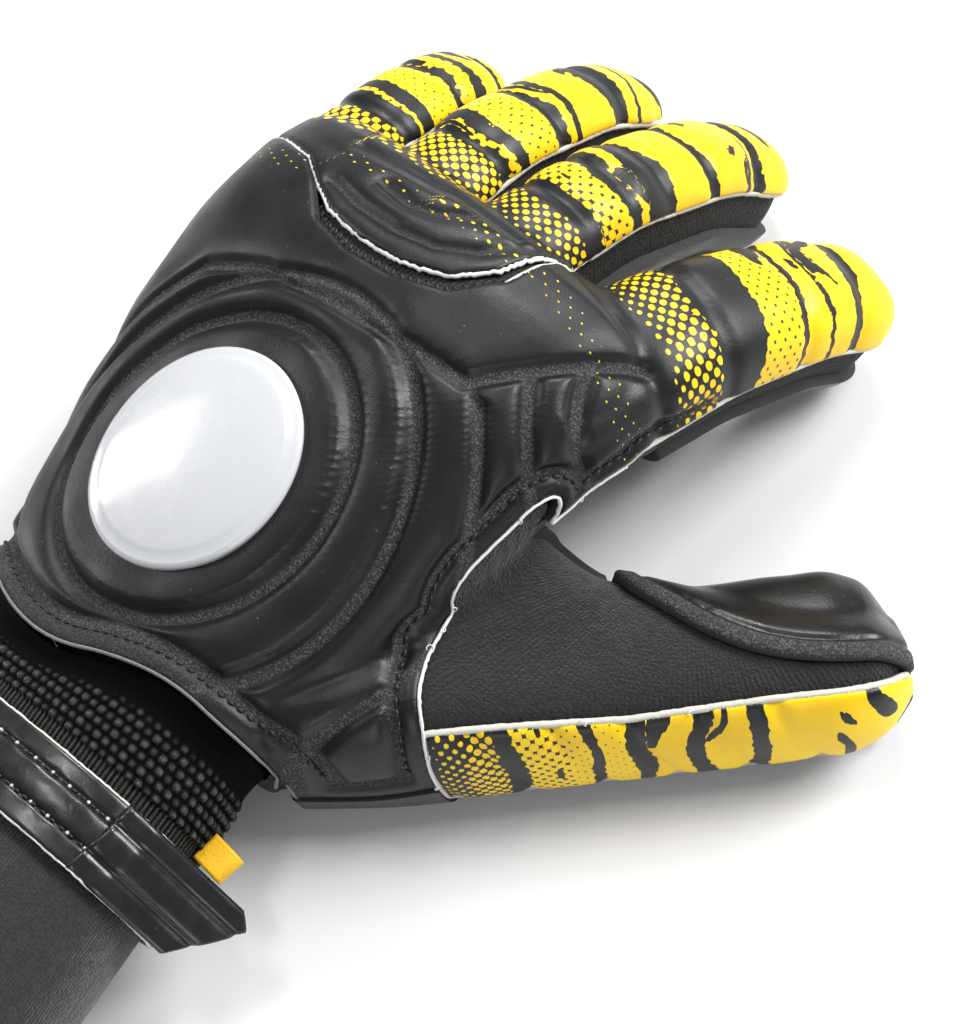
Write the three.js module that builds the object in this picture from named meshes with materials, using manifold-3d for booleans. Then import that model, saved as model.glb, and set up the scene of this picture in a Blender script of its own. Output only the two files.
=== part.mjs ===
// A left-hand soccer goalkeeper glove, shaped as it is when a half-closed hand fills it.
// The back of the hand is up, the fingertips point to +Y and the thumb lies on the +X side.
// It rests on its strap, its thumb and its middle fingertip.
// The glove is hollow: one hand-shaped space runs from the open cuff to every fingertip, and each
// panel is the part of the wall around that space that lies between its own seams.
// Lengths are in millimetres and angles in degrees.

import * as THREE from 'three';
import Module from 'manifold-3d';
import { mergeVertices } from 'three/addons/utils/BufferGeometryUtils.js';

const wasm = await Module();
wasm.setup();

// Driving sizes: seams and walls
const SEAM_GAP = 0.3; // clear width of each seam between neighbouring pieces
const SQUARENESS = 2.4; // power of the rounded sections, 2 for an ellipse
const FAR = 90; // reach of the cutting blocks beyond the glove
const ASIDE = 150; // how far those blocks reach to each side
const AHEAD = 240; // and past the fingertips

// Depths below the pads' outer face: that face itself, the fabric's face and the hand's space.
// Detail is the share of the full number of facets.
const OUTER = { side: 0, top: 0, bottom: 0, tip: 0, detail: 1 };
const FABRIC = { side: 2.3, top: 2.5, bottom: 3, tip: 2.5, detail: 0.85 };
const FABRIC_BED = {
  side: FABRIC.side - SEAM_GAP,
  top: FABRIC.top - SEAM_GAP,
  bottom: FABRIC.bottom - SEAM_GAP,
  tip: 0,
  detail: FABRIC.detail,
};
const SPACE = { side: 4.5, top: 5, bottom: 6, tip: 5, detail: 0.7 };
const MOUTH_REACH = 15; // how far the hand's space is drawn out past the cuff

// How the glove leans and sinks so that it rests on three soft spots, and its origin's place
const REST = { tiltX: -2.8, tiltY: -3, sink: 1.9 };
const ORIGIN = { x: 32.45, y: 57.63 };

// Numbers of sides and steps of the faceted forms
const TRUNK_SIDES = 20;
const FINGER_SIDES = 12;
const THUMB_SIDES = 16;
const FINGER_STEP = 10.5;
const facets = (sides, depth) => 2 * Math.round((sides * depth.detail) / 2);

// The hand's trunk from the cuff to the knuckles: place and slope of each section's centre,
// and how far the section reaches to the little finger, to the thumb, up and down.
const TRUNK = [
  { y: -78, z: 25, slope: 0, x: 20, ulnar: 42, radial: 43, top: 25, bottom: 25 },
  { y: -55, z: 25, slope: 0, x: 15, ulnar: 41, radial: 42, top: 25, bottom: 25 },
  { y: -30, z: 25, slope: 1, x: 9, ulnar: 41, radial: 42, top: 24, bottom: 25 },
  { y: -10, z: 25, slope: 8, x: 3, ulnar: 43, radial: 44, top: 24, bottom: 24 },
  { y: 14, z: 29, slope: 16, x: 0, ulnar: 47, radial: 50, top: 26, bottom: 26 },
  { y: 42, z: 38, slope: 18, x: 0, ulnar: 53, radial: 56, top: 27, bottom: 27 },
  { y: 70, z: 47, slope: 18, x: 0, ulnar: 57, radial: 60, top: 27, bottom: 25 },
  { y: 94, z: 55, slope: 14, x: 0, ulnar: 57, radial: 63, top: 25, bottom: 20 },
  { y: 108, z: 58, slope: 8, x: 0, ulnar: 55, radial: 61, top: 20, bottom: 16 },
  { y: 117, z: 58, slope: 0, x: 0, ulnar: 52, radial: 57, top: 14, bottom: 11 },
  { y: 121, z: 57, slope: 0, x: 0, ulnar: 47, radial: 50, top: 8, bottom: 8 },
];

// Each finger: its knuckle, how far it leans to the thumb, the lengths of its three bones and how
// far each one points below the horizon. Each pair gives a value at the knuckle and one at the
// tip: the section's reach to the thumb side, to the other side, up and down, and the height of
// the back pad's and the front pad's edge above the finger's axis.
const FINGERS = {
  index: {
    x: 40, y: 92, z: 58, lean: 12, bones: [42, 28, 28], dip: [14, 28, 44],
    inner: [23, 14.5], outer: [14.5, 14], top: [14, 13], bottom: [27, 17],
    padEdge: [-8, 1], palmEdge: [-19, -9],
  },
  middle: {
    x: 13, y: 97, z: 61, lean: -1, bones: [45, 30, 31], dip: [13, 29, 46],
    inner: [14.5, 14], outer: [14.5, 14], top: [14, 13], bottom: [18, 16],
    padEdge: [5, 3], palmEdge: [-7, -7],
  },
  ring: {
    x: -14, y: 94, z: 57, lean: -6, bones: [42, 28, 29], dip: [7, 25, 42],
    inner: [14, 14], outer: [14, 13.5], top: [13.5, 12.5], bottom: [17, 15],
    padEdge: [6, 4], palmEdge: [-7, -7],
  },
  little: {
    x: -39, y: 85, z: 51, lean: -11, bones: [35, 22, 26], dip: [0, 18, 34],
    inner: [13.5, 13], outer: [13.5, 12.5], top: [12.5, 11.5], bottom: [15, 14],
    padEdge: [6, 4], palmEdge: [-6, -6],
  },
};
const NAMES = Object.keys(FINGERS);
const CLOSING_STEP = 3; // least distance between two sections where a form closes
const JOINT_BEND = 16; // length over which a finger joint bends
const TIP_ROUNDNESS = 15; // length over which a fingertip closes
const TIP_ENDS = [0.5, 0.16, 0.01]; // shares of that length where extra rings go

// The thumb with its web: distance along its axis, and how far each section reaches to the
// fingers, away from them, up and down.
const THUMB_ROOT = { x: 40, y: 12, z: 20 };
const THUMB_LEAN = 41;
const THUMB_DIP = 1;
const THUMB = [
  { along: 0, front: 50, back: 13, top: 24, bottom: 18 },
  { along: 22, front: 60, back: 15, top: 24, bottom: 19 },
  { along: 44, front: 58, back: 15, top: 22, bottom: 19 },
  { along: 58, front: 44, back: 15, top: 20, bottom: 19 },
  { along: 70, front: 31, back: 15, top: 19, bottom: 19 },
  { along: 88, front: 26, back: 15, top: 19, bottom: 19 },
  { along: 108, front: 26, back: 15, top: 18, bottom: 18 },
  { along: 121, front: 25, back: 14, top: 16, bottom: 17 },
  { along: 128, front: 20, back: 10, top: 13, bottom: 14 },
  { along: 132, front: 12, back: 5, top: 8, bottom: 8 },
];

// Seams along the thumb, as angles round its axis from the side that faces the fingers: the front
// edge of the web, both edges of the back strip, and the far edge of the lower strip.
const THUMB_SEAMS = [
  { along: -20, front: -10, back: 119, lower: 215, under: 250 },
  { along: 50, front: -10, back: 125, lower: 215, under: 250 },
  { along: 75, front: -10, back: 130, lower: 215, under: 250 },
  { along: 104, front: -10, back: 127, lower: 213, under: 248 },
  { along: 145, front: -10, back: 129, lower: 205, under: 232 },
];
const THUMB_GAP = 0.2; // half the clear width of those seams
const THUMB_PALM_START = 52; // distance along the thumb where its own latex starts

// Height of the seam between back and palm, at the little finger's side and at the thumb's side
const TRUNK_SEAM = [
  { y: -100, ulnar: 25, radial: 19 },
  { y: -10, ulnar: 25, radial: 18 },
  { y: 14, ulnar: 29, radial: 17 },
  { y: 42, ulnar: 38, radial: 26 },
  { y: 94, ulnar: 55, radial: 45 },
];
const SEAM_SPAN = 55; // where those heights are read, to each side of the middle
const FINGER_START = 101; // past this the fingers have side strips

// Seams seen from above, as lines of [x, y]: where the back ends at the thumb, at the wrist and
// at the knuckles, where the web meets the thumb's latex, and the lines between the fingers.
const THUMB_LINE = [
  [86, -FAR], [86, 8], [74, 24], [71, 30], [64.7, 35.4], [58.5, 45], [57.5, 54],
  [59, 66.5], [61, 79], [62, 90], [76, 110], [84, 140], [84, AHEAD],
];
const WRIST_LINE = [
  [-ASIDE, -4], [-55, -4], [-35, -8], [-16, -12], [-1, -11], [13, -4], [28, 1], [43, 2],
  [58, 6], [ASIDE, 6],
];
const KNUCKLE_LINE = [
  [-120, 108], [-62, 104], [-48, 103], [-34, 101], [-25, 96.5], [-16, 91.5], [-4, 90],
  [9, 91.5], [20, 96], [26.5, 105], [27.5, 116], [28, 126], [38, AHEAD],
];
const LATEX_LINE = [
  [0, 90], [61, 88], [74, 83], [85, 83.5], [97, 84.5], [108.5, 88.5], [119, 96],
  [127, 106], [140, 126],
];
const INDEX_MIDDLE_LINE = [[28, 90], [28, 126], [38, AHEAD]];
const MIDDLE_RING_LINE = [[-1, 90], [-1, 125], [-7, AHEAD]];
const RING_LITTLE_LINE = [[-27, 90], [-29.5, 118], [-47, AHEAD]];
const FAR_LEFT = [[-ASIDE, 90], [-ASIDE, AHEAD]];
const FAR_RIGHT = [[ASIDE, 90], [ASIDE, AHEAD]];

// The open channel between back and knuckle panel: half its width along the knuckle line
const CHANNEL = [
  { from: 4, half: 0.3 }, { from: 5, half: 1.5 }, { from: 6, half: 1.9 }, { from: 7, half: 1.9 },
  { from: 8, half: 1.9 }, { from: 9, half: 1.8 }, { from: 10, half: 1.3 }, { from: 11, half: 0.3 },
];

// The strap across the wrist, its free end and the small tab beside it
const STRAP = { middle: -35.5, tilt: 7, width: 17.6, proud: 0.6 };
const STRAP_END = { x: 44, z: 42, angle: -52, length: 32, thickness: 2.2, cut: 8, point: 6 };
const TAB = { y: -15.6, z: 22, width: 8.4, height: 4, proud: 5.5, from: 30, to: 90 };

// The domed oval on the back: its place, lean, half axes, and the dome's steps as a share of the
// oval and a height above the panel.
const BADGE = { x: -0.6, y: 35.8, lean: 41, long: 26, short: 23, sides: 26 };
const BADGE_DOME = [
  { share: 1, height: 1.2 },
  { share: 0.9, height: 2 },
  { share: 0.72, height: 2.6 },
];

const radians = THREE.MathUtils.degToRad;
const { lerp } = THREE.MathUtils;

// A section's frame: its centre, the direction to the thumb side, up and forward
function frame(center, lean, dip) {
  const side = new THREE.Vector3(Math.cos(radians(lean)), -Math.sin(radians(lean)), 0);
  const forward = new THREE.Vector3(
    Math.sin(radians(lean)) * Math.cos(radians(dip)),
    Math.cos(radians(lean)) * Math.cos(radians(dip)),
    -Math.sin(radians(dip)),
  );
  const up = new THREE.Vector3().crossVectors(side, forward);
  return { center, side, up, forward };
}

// The point of a frame at a distance across and up
function pointIn(at, across, height) {
  return at.center.clone().addScaledVector(at.side, across).addScaledVector(at.up, height);
}

// A closed rounded ring in a frame, from its reach to each of four sides
function roundedRing(at, reach, sides) {
  const bulged = (value) => Math.sign(value) * Math.abs(value) ** (2 / SQUARENESS);
  return Array.from({ length: sides }, (_, i) => {
    const c = bulged(Math.cos((2 * Math.PI * i) / sides));
    const s = bulged(Math.sin((2 * Math.PI * i) / sides));
    const across = c * (c > 0 ? reach.right : reach.left);
    const height = s * (s > 0 ? reach.top : reach.bottom);
    return pointIn(at, across, height);
  });
}

// A section's reach to its four sides at a depth below the pads' outer face
function inset(right, left, top, bottom, depth) {
  return {
    right: right - depth.side,
    left: left - depth.side,
    top: top - depth.top,
    bottom: bottom - depth.bottom,
  };
}

// A solid from points and triangles, turned so that its faces point out
function solidFrom(points, triangles) {
  const vertProperties = new Float32Array(points.flatMap((p) => [p.x, p.y, p.z]));
  const build = (list) => new wasm.Manifold(
    new wasm.Mesh({ numProp: 3, vertProperties, triVerts: new Uint32Array(list) }),
  );
  const solid = build(triangles);
  if (solid.volume() > 0) return solid;
  const flipped = [];
  for (let i = 0; i < triangles.length; i += 3) {
    flipped.push(triangles[i], triangles[i + 2], triangles[i + 1]);
  }
  return build(flipped);
}

// A solid through closed rings of equal length, capped at both ends
function loft(rings) {
  const sides = rings[0].length;
  const points = rings.flat();
  const ends = [rings[0], rings[rings.length - 1]].map((ring) => {
    const middle = new THREE.Vector3();
    ring.forEach((p) => middle.addScaledVector(p, 1 / sides));
    points.push(middle);
    return points.length - 1;
  });
  const triangles = [];
  for (let r = 0; r + 1 < rings.length; r += 1) {
    for (let i = 0; i < sides; i += 1) {
      const a = r * sides + i;
      const b = r * sides + ((i + 1) % sides);
      triangles.push(a, b, b + sides, a, b + sides, a + sides);
    }
  }
  const last = (rings.length - 1) * sides;
  for (let i = 0; i < sides; i += 1) {
    const j = (i + 1) % sides;
    triangles.push(ends[0], j, i, ends[1], last + i, last + j);
  }
  return solidFrom(points, triangles);
}

// An upright block over a closed outline seen from above
function prism(outline, low = -FAR, high = 2 * FAR) {
  const shape = new THREE.Shape(outline.map(([x, y]) => new THREE.Vector2(x, y)));
  const geometry = new THREE.ExtrudeGeometry(shape, { depth: high - low, bevelEnabled: false });
  geometry.translate(0, 0, low);
  geometry.deleteAttribute('normal');
  geometry.deleteAttribute('uv');
  const merged = mergeVertices(geometry, 1e-4);
  return new wasm.Manifold(new wasm.Mesh({
    numProp: 3,
    vertProperties: new Float32Array(merged.attributes.position.array),
    triVerts: new Uint32Array(merged.index.array),
  }));
}

// An upright block between two values of y
function slab(from, to) {
  return prism([[-ASIDE, from], [ASIDE, from], [ASIDE, to], [-ASIDE, to]]);
}

// An upright wall along a line, with half its width for each point
function wallAlong(line, halves) {
  const left = [];
  const right = [];
  line.forEach(([x, y], i) => {
    const [ax, ay] = line[Math.max(0, i - 1)];
    const [bx, by] = line[Math.min(line.length - 1, i + 1)];
    const share = halves(i) / Math.hypot(bx - ax, by - ay);
    left.push([x - (by - ay) * share, y + (bx - ax) * share]);
    right.push([x + (by - ay) * share, y - (bx - ax) * share]);
  });
  return prism([...left, ...right.reverse()]);
}
const seamWall = (line) => wallAlong(line, () => SEAM_GAP / 2);

// Linear reading of a table's columns at a value of its first column
function row(table, key, value) {
  let i = 0;
  while (i + 2 < table.length && table[i + 1][key] < value) i += 1;
  const a = table[i];
  const b = table[i + 1];
  const t = (value - a[key]) / (b[key] - a[key]);
  return Object.fromEntries(Object.keys(a).map((name) => [name, lerp(a[name], b[name], t)]));
}

const join = (solids) => solids.reduce((all, one) => all.add(one));
const cut = (solid, cutters) => cutters.reduce((rest, one) => rest.subtract(one), solid);

// The largest body of a cut solid, without the crumbs that a cut can leave
function mainBody(solid) {
  return solid.decompose().reduce((best, one) => (one.volume() > best.volume() ? one : best));
}

// The trunk at a depth below the pads' outer face
function trunkSolid(depth) {
  const end = TRUNK[TRUNK.length - 1].y - depth.tip;
  return loft(TRUNK.map((r, i) => {
    const y = Math.min(r.y, end - CLOSING_STEP * (TRUNK.length - 1 - i));
    const at = frame(new THREE.Vector3(r.x, y, r.z), 0, -r.slope);
    const reach = inset(r.radial, r.ulnar, r.top, r.bottom, depth);
    return roundedRing(at, reach, facets(TRUNK_SIDES, depth));
  }));
}

// Frames along a finger, whose axis bends smoothly at each joint
function fingerFrames(f) {
  const total = f.bones[0] + f.bones[1] + f.bones[2];
  const joints = [f.bones[0], f.bones[0] + f.bones[1]];
  const dipAt = (s) => joints.reduce((dip, joint, k) => {
    const bent = THREE.MathUtils.smoothstep(s, joint - JOINT_BEND / 2, joint + JOINT_BEND / 2);
    return dip + (f.dip[k + 1] - f.dip[k]) * bent;
  }, f.dip[0]);
  const count = Math.round(total / FINGER_STEP);
  const step = total / count;
  const point = new THREE.Vector3(f.x, f.y, f.z);
  return Array.from({ length: count + 1 }, (_, i) => {
    const at = { ...frame(point.clone(), f.lean, dipAt(i * step)), s: i * step };
    point.addScaledVector(frame(point, f.lean, dipAt((i + 0.5) * step)).forward, step);
    return at;
  });
}

// The frame between two frames of a list, at a distance along it
function frameAt(frames, s) {
  let i = 0;
  while (i + 2 < frames.length && frames[i + 1].s < s) i += 1;
  const a = frames[i];
  const b = frames[i + 1];
  const t = (s - a.s) / (b.s - a.s);
  const center = a.center.clone().lerp(b.center, t);
  const up = a.up.clone().lerp(b.up, t).normalize();
  return { ...a, center, up, s };
}

// A finger at a depth below the pads' outer face
function fingerSolid(f, depth) {
  const frames = fingerFrames(f);
  const total = frames[frames.length - 1].s;
  const end = total - depth.tip;
  const roundness = TIP_ROUNDNESS - depth.side;
  const stations = frames.map((at) => at.s).filter((s) => s < end - roundness - FINGER_STEP / 2);
  stations.push(end - roundness, ...TIP_ENDS.map((share) => end - roundness * share));
  return loft(stations.map((s) => {
    const closed = Math.max(0, 1 - (end - s) / roundness);
    const share = Math.sqrt(1 - closed ** 2);
    const reach = (pair, wall) => (lerp(pair[0], pair[1], s / total) - wall) * share;
    return roundedRing(frameAt(frames, s), {
      right: reach(f.inner, depth.side),
      left: reach(f.outer, depth.side),
      top: reach(f.top, depth.top),
      bottom: reach(f.bottom, depth.bottom),
    }, facets(FINGER_SIDES, depth));
  }));
}

function thumbFrame(along) {
  const root = new THREE.Vector3(THUMB_ROOT.x, THUMB_ROOT.y, THUMB_ROOT.z);
  const at = frame(root, THUMB_LEAN, THUMB_DIP);
  at.center.addScaledVector(at.forward, along);
  return at;
}

// The thumb and its web at a depth below the pads' outer face
function thumbSolid(depth) {
  const end = THUMB[THUMB.length - 1].along - depth.tip;
  return loft(THUMB.map((r, i) => {
    const along = Math.min(r.along, end - CLOSING_STEP * (THUMB.length - 1 - i));
    const reach = inset(r.back, r.front, r.top, r.bottom, depth);
    return roundedRing(thumbFrame(along), reach, facets(THUMB_SIDES, depth));
  }));
}

// The whole hand at a depth below the pads' outer face
function handSolid(depth) {
  const fingers = NAMES.map((name) => fingerSolid(FINGERS[name], depth));
  return join([trunkSolid(depth), thumbSolid(depth), ...fingers]);
}

// The way in: the trunk's space drawn out past the end of the cuff
function mouthSolid() {
  const [wrist] = TRUNK;
  const reach = inset(wrist.radial, wrist.ulnar, wrist.top, wrist.bottom, SPACE);
  return loft([wrist.y - MOUTH_REACH, wrist.y + 1].map((y) => {
    const at = frame(new THREE.Vector3(wrist.x, y, wrist.z), 0, 0);
    return roundedRing(at, reach, facets(TRUNK_SIDES, SPACE));
  }));
}

const space = handSolid(SPACE).add(mouthSolid());
const padWall = handSolid(OUTER).subtract(space);
const fabricWall = handSolid(FABRIC).subtract(space);

// The block above or below the seam between back and palm
function trunkSeamBlock(above, shift) {
  return loft([...TRUNK_SEAM, { ...row(TRUNK_SEAM, 'y', FINGER_START), y: FINGER_START }].map((r) => {
    const heightAt = (x) => lerp(r.ulnar, r.radial, (x + SEAM_SPAN) / (2 * SEAM_SPAN)) + shift;
    const far = above ? 2 * FAR : -FAR;
    return [[-ASIDE, heightAt(-ASIDE)], [ASIDE, heightAt(ASIDE)], [ASIDE, far], [-ASIDE, far]]
      .map(([x, z]) => new THREE.Vector3(x, r.y, z));
  }));
}

// The block above the edge of a finger's back pad, or below the edge of its front pad
const FINGER_BLOCK = { behind: 15, ahead: 10, aside: 36, above: 30, below: -33 };
function fingerSeamBlock(f, above, shift) {
  const { behind, ahead, aside } = FINGER_BLOCK;
  const frames = fingerFrames(f);
  const last = frames[frames.length - 1];
  const moved = (at, distance) => {
    const center = at.center.clone().addScaledVector(at.forward, distance);
    return { ...at, center };
  };
  const all = [moved(frames[0], -behind), ...frames, moved(last, ahead)];
  const pair = above ? f.padEdge : f.palmEdge;
  const far = above ? FINGER_BLOCK.above : FINGER_BLOCK.below;
  return loft(all.map((at) => {
    const edge = lerp(pair[0], pair[1], at.s / last.s) + shift;
    const outline = [[-aside, edge], [aside, edge], [aside, far], [-aside, far]];
    return outline.map(([across, up]) => pointIn(at, across, up));
  }));
}

// The plan sector that each finger has to itself, grown by a margin on both sides
function sector(leftLine, rightLine, margin) {
  const left = leftLine.map(([x, y]) => [x - margin, y]);
  const right = rightLine.map(([x, y]) => [x + margin, y]);
  return prism([...left, ...right.reverse()]);
}
const SECTOR_LINES = {
  index: [INDEX_MIDDLE_LINE, FAR_RIGHT],
  middle: [MIDDLE_RING_LINE, INDEX_MIDDLE_LINE],
  ring: [RING_LITTLE_LINE, MIDDLE_RING_LINE],
  little: [FAR_LEFT, RING_LITTLE_LINE],
};

// Everything on the back pads' side, or on the front pads' side, of the side strips
function padRegion(above, margin) {
  const shift = above ? -margin : margin;
  const fingers = NAMES.map((name) => fingerSeamBlock(FINGERS[name], above, shift)
    .intersect(sector(...SECTOR_LINES[name], margin))
    .intersect(slab(FINGER_START, AHEAD)));
  const trunkShift = above ? SEAM_GAP / 2 : -SEAM_GAP / 2;
  return join([trunkSeamBlock(above, trunkShift), ...fingers]);
}

const topRegion = padRegion(true, 0);
const bottomRegion = padRegion(false, 0);
const trunkSide = prism([...THUMB_LINE, [-ASIDE, AHEAD], [-ASIDE, -FAR]]);
const handSide = prism([...WRIST_LINE, [ASIDE, AHEAD], [-ASIDE, AHEAD]]);
const knuckleSide = prism([...KNUCKLE_LINE, [-120, AHEAD]]);
const thumbSeam = seamWall(THUMB_LINE);
const wristSeam = seamWall(WRIST_LINE);
const knuckleSeam = seamWall(KNUCKLE_LINE);

// The padded back, without the grooves between its two panels
function makeBack() {
  const whole = padWall.intersect(topRegion).intersect(trunkSide).intersect(handSide);
  return cut(whole, [thumbSeam, wristSeam, knuckleSeam, channelWall(0)]);
}

// The channel between the two panels, narrowed by a margin on both sides
function channelWall(margin) {
  const line = CHANNEL.map((c) => KNUCKLE_LINE[c.from]);
  return wallAlong(line, (i) => Math.max(0.02, CHANNEL[i].half - margin));
}

const back = makeBack();
const makeBackPanel = () => back.subtract(knuckleSide);
const crotchWalls = [MIDDLE_RING_LINE, RING_LITTLE_LINE].map((line) => seamWall(line.slice(1)));
const makeKnucklePanel = () => cut(back.intersect(knuckleSide), crotchWalls);
const makeKnuckleChannel = () => fabricWall.intersect(topRegion).intersect(trunkSide)
  .intersect(channelWall(SEAM_GAP));

// The domed oval: steps that follow the panel below it
function makeBadge() {
  const curve = new THREE.EllipseCurve(0, 0, BADGE.long, BADGE.short);
  const turn = radians(90 - BADGE.lean);
  const outline = curve.getPoints(BADGE.sides).slice(0, -1)
    .map((p) => p.rotateAround(new THREE.Vector2(), turn));
  const raised = (height) => trunkSolid({ side: -height, top: -height, bottom: 0, tip: 0, detail: 1 });
  const steps = BADGE_DOME.map((step) => prism(
    outline.map((p) => [BADGE.x + p.x * step.share, BADGE.y + p.y * step.share]),
  ).intersect(raised(step.height)));
  return join(steps).subtract(raised(SEAM_GAP)).intersect(topRegion);
}

// A wedge round the thumb's axis that starts at one of its seams, moved aside by a small gap
const WEDGE_SPANS = { front: 145, back: 100, lower: 90, under: 90 };
function thumbWedge(edge, gap) {
  return loft(THUMB_SEAMS.map((r) => {
    const at = thumbFrame(r.along);
    const start = radians(r[edge]);
    const toward = (a, out, aside) => pointIn(
      at,
      -out * Math.cos(a) + aside * Math.sin(start),
      out * Math.sin(a) + aside * Math.cos(start),
    );
    const turns = [0, 0.5, 1].map((t) => start + radians(WEDGE_SPANS[edge]) * t);
    return [toward(start, 0, gap), ...turns.map((a) => toward(a, FAR, gap))];
  }));
}

// The stretch of space between two distances along the thumb
function thumbStretch(from, to) {
  return loft([from, to].map((along) => [[-1, -1], [1, -1], [1, 1], [-1, 1]]
    .map(([across, up]) => pointIn(thumbFrame(along), 2 * FAR * across, 2 * FAR * up))));
}

const startOf = (edge) => thumbWedge(edge, THUMB_GAP);
const pastEndOf = (edge) => thumbWedge(edge, -THUMB_GAP);
const webPlan = prism([...LATEX_LINE, [150, -FAR], [0, -FAR]]);
const thumbPads = padWall.subtract(trunkSide).intersect(handSide);
const thumbFabric = fabricWall.subtract(trunkSide).intersect(handSide);
const notLatex = join([pastEndOf('front').intersect(webPlan), pastEndOf('back'), pastEndOf('lower')])
  .subtract(startOf('under'));
const thumbLatex = thumbPads.subtract(notLatex);
const thumbPiece = (wall, from, to) => cut(wall.intersect(startOf(from)), [pastEndOf(to), thumbSeam]);
const makeThumbWeb = () => thumbPiece(thumbFabric, 'front', 'back').intersect(webPlan)
  .subtract(wallAlong(LATEX_LINE, () => SEAM_GAP));
const makeThumbBack = () => thumbPiece(thumbPads, 'back', 'lower');
const makeThumbStrip = () => thumbPiece(thumbFabric, 'lower', 'under');
const makeThumbPalm = () => thumbLatex.intersect(thumbStretch(THUMB_PALM_START + SEAM_GAP, 2 * FAR));

// The palm: the trunk's underside, the root of the thumb and the fronts of the fingers
function makePalm() {
  const trunk = padWall.intersect(bottomRegion).intersect(trunkSide);
  const root = thumbLatex.intersect(thumbStretch(-FAR, THUMB_PALM_START));
  const indexWall = seamWall(INDEX_MIDDLE_LINE.slice(1));
  return cut(trunk.add(root).intersect(handSide), [wristSeam, indexWall, ...crotchWalls]);
}

// The side strips of the fingers, each between the middles of two neighbours
const sideStrips = cut(fabricWall, [padRegion(true, SEAM_GAP), padRegion(false, SEAM_GAP), thumbSeam])
  .intersect(trunkSide).intersect(slab(FINGER_START + SEAM_GAP, AHEAD));
function middleLine(name, aside) {
  const f = FINGERS[name];
  const across = Math.sin(radians(f.lean));
  const forward = Math.cos(radians(f.lean));
  return [-20, ASIDE].map((t) => [f.x + aside + t * across, f.y + t * forward]);
}
function makeStrip(left, right) {
  const leftLine = left ? middleLine(left, SEAM_GAP / 2) : FAR_LEFT;
  const rightLine = right ? middleLine(right, -SEAM_GAP / 2) : FAR_RIGHT;
  return sideStrips.intersect(sector(leftLine, rightLine, 0));
}

// Lines across the wrist that follow the strap, at a distance from its middle
function strapLine(offset) {
  const rise = Math.tan(radians(STRAP.tilt));
  return [-ASIDE, ASIDE].map((x) => [x, STRAP.middle + offset + rise * x]);
}
const between = (low, high) => prism([...strapLine(low), ...strapLine(high).reverse()]);
const makeWristband = () => cut(fabricWall.intersect(between(SEAM_GAP, 3 * FAR)), [handSide, wristSeam]);
const makeCuff = () => fabricWall.intersect(between(-2 * FAR, 0));

function makeStrap() {
  const { proud, width } = STRAP;
  const face = trunkSolid({ side: -proud, top: -proud, bottom: -proud, tip: 0, detail: 1 });
  const bed = trunkSolid(FABRIC_BED);
  return face.add(strapEnd()).subtract(bed).intersect(between(-width / 2, width / 2));
}

// The strap's free end, which leaves the wrist in a straight line
function strapEnd() {
  const turn = radians(STRAP_END.angle);
  const along = new THREE.Vector3(Math.cos(turn), 0, Math.sin(turn));
  const out = new THREE.Vector3(-along.z, 0, along.x);
  const start = new THREE.Vector3(STRAP_END.x, STRAP.middle, STRAP_END.z);
  const { length, thickness, cut: clip, point } = STRAP_END;
  const wide = 2 * STRAP.width;
  const outline = [[0, -wide], [length - clip, -wide], [length, point], [length - clip, wide], [0, wide]];
  const ring = (t) => outline.map(([x, y]) => start.clone().addScaledVector(along, x)
    .addScaledVector(out, t).add(new THREE.Vector3(0, y, 0)));
  return loft([ring(0), ring(thickness)]);
}

// The folded tab at the strap's edge
function makePullTab() {
  const { y, z, width, height, proud, from, to } = TAB;
  const face = trunkSolid({ side: -proud, top: 0, bottom: 0, tip: 0, detail: 1 });
  const bed = trunkSolid(FABRIC_BED);
  const low = y - width / 2;
  const high = y + width / 2;
  const plan = [[from, low], [to, low], [to, high], [from, high]];
  return face.subtract(bed).intersect(prism(plan, z - height / 2, z + height / 2));
}

// Colours and finish of each material
const material = (color, roughness) => new THREE.MeshStandardMaterial({ color, roughness, metalness: 0 });
const MATERIALS = {
  blackPad: material(0x1b1c1d, 0.45),
  yellowPad: material(0xf2cf00, 0.5),
  latex: material(0x121314, 0.35),
  fabric: material(0x141414, 0.9),
  knit: material(0x1a1a1b, 0.95),
  strap: material(0x202224, 0.4),
  badge: material(0xe9edf0, 0.2),
  tab: material(0xf0c000, 0.6),
};

// Every piece: its name, its maker and its material
const PIECES = [
  ['back_panel', makeBackPanel, MATERIALS.blackPad],
  ['knuckle_panel', makeKnucklePanel, MATERIALS.yellowPad],
  ['knuckle_channel', makeKnuckleChannel, MATERIALS.fabric],
  ['badge', makeBadge, MATERIALS.badge],
  ['palm', makePalm, MATERIALS.latex],
  ['index_side_strip', () => makeStrip('index', null), MATERIALS.fabric],
  ['index_middle_strip', () => makeStrip('middle', 'index'), MATERIALS.fabric],
  ['middle_ring_strip', () => makeStrip('ring', 'middle'), MATERIALS.fabric],
  ['ring_little_strip', () => makeStrip('little', 'ring'), MATERIALS.fabric],
  ['little_side_strip', () => makeStrip(null, 'little'), MATERIALS.fabric],
  ['thumb_back', makeThumbBack, MATERIALS.yellowPad],
  ['thumb_web', makeThumbWeb, MATERIALS.fabric],
  ['thumb_palm', makeThumbPalm, MATERIALS.latex],
  ['thumb_side_strip', makeThumbStrip, MATERIALS.fabric],
  ['wristband', makeWristband, MATERIALS.knit],
  ['strap', makeStrap, MATERIALS.strap],
  ['pull_tab', makePullTab, MATERIALS.tab],
  ['cuff', makeCuff, MATERIALS.fabric],
];

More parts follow.
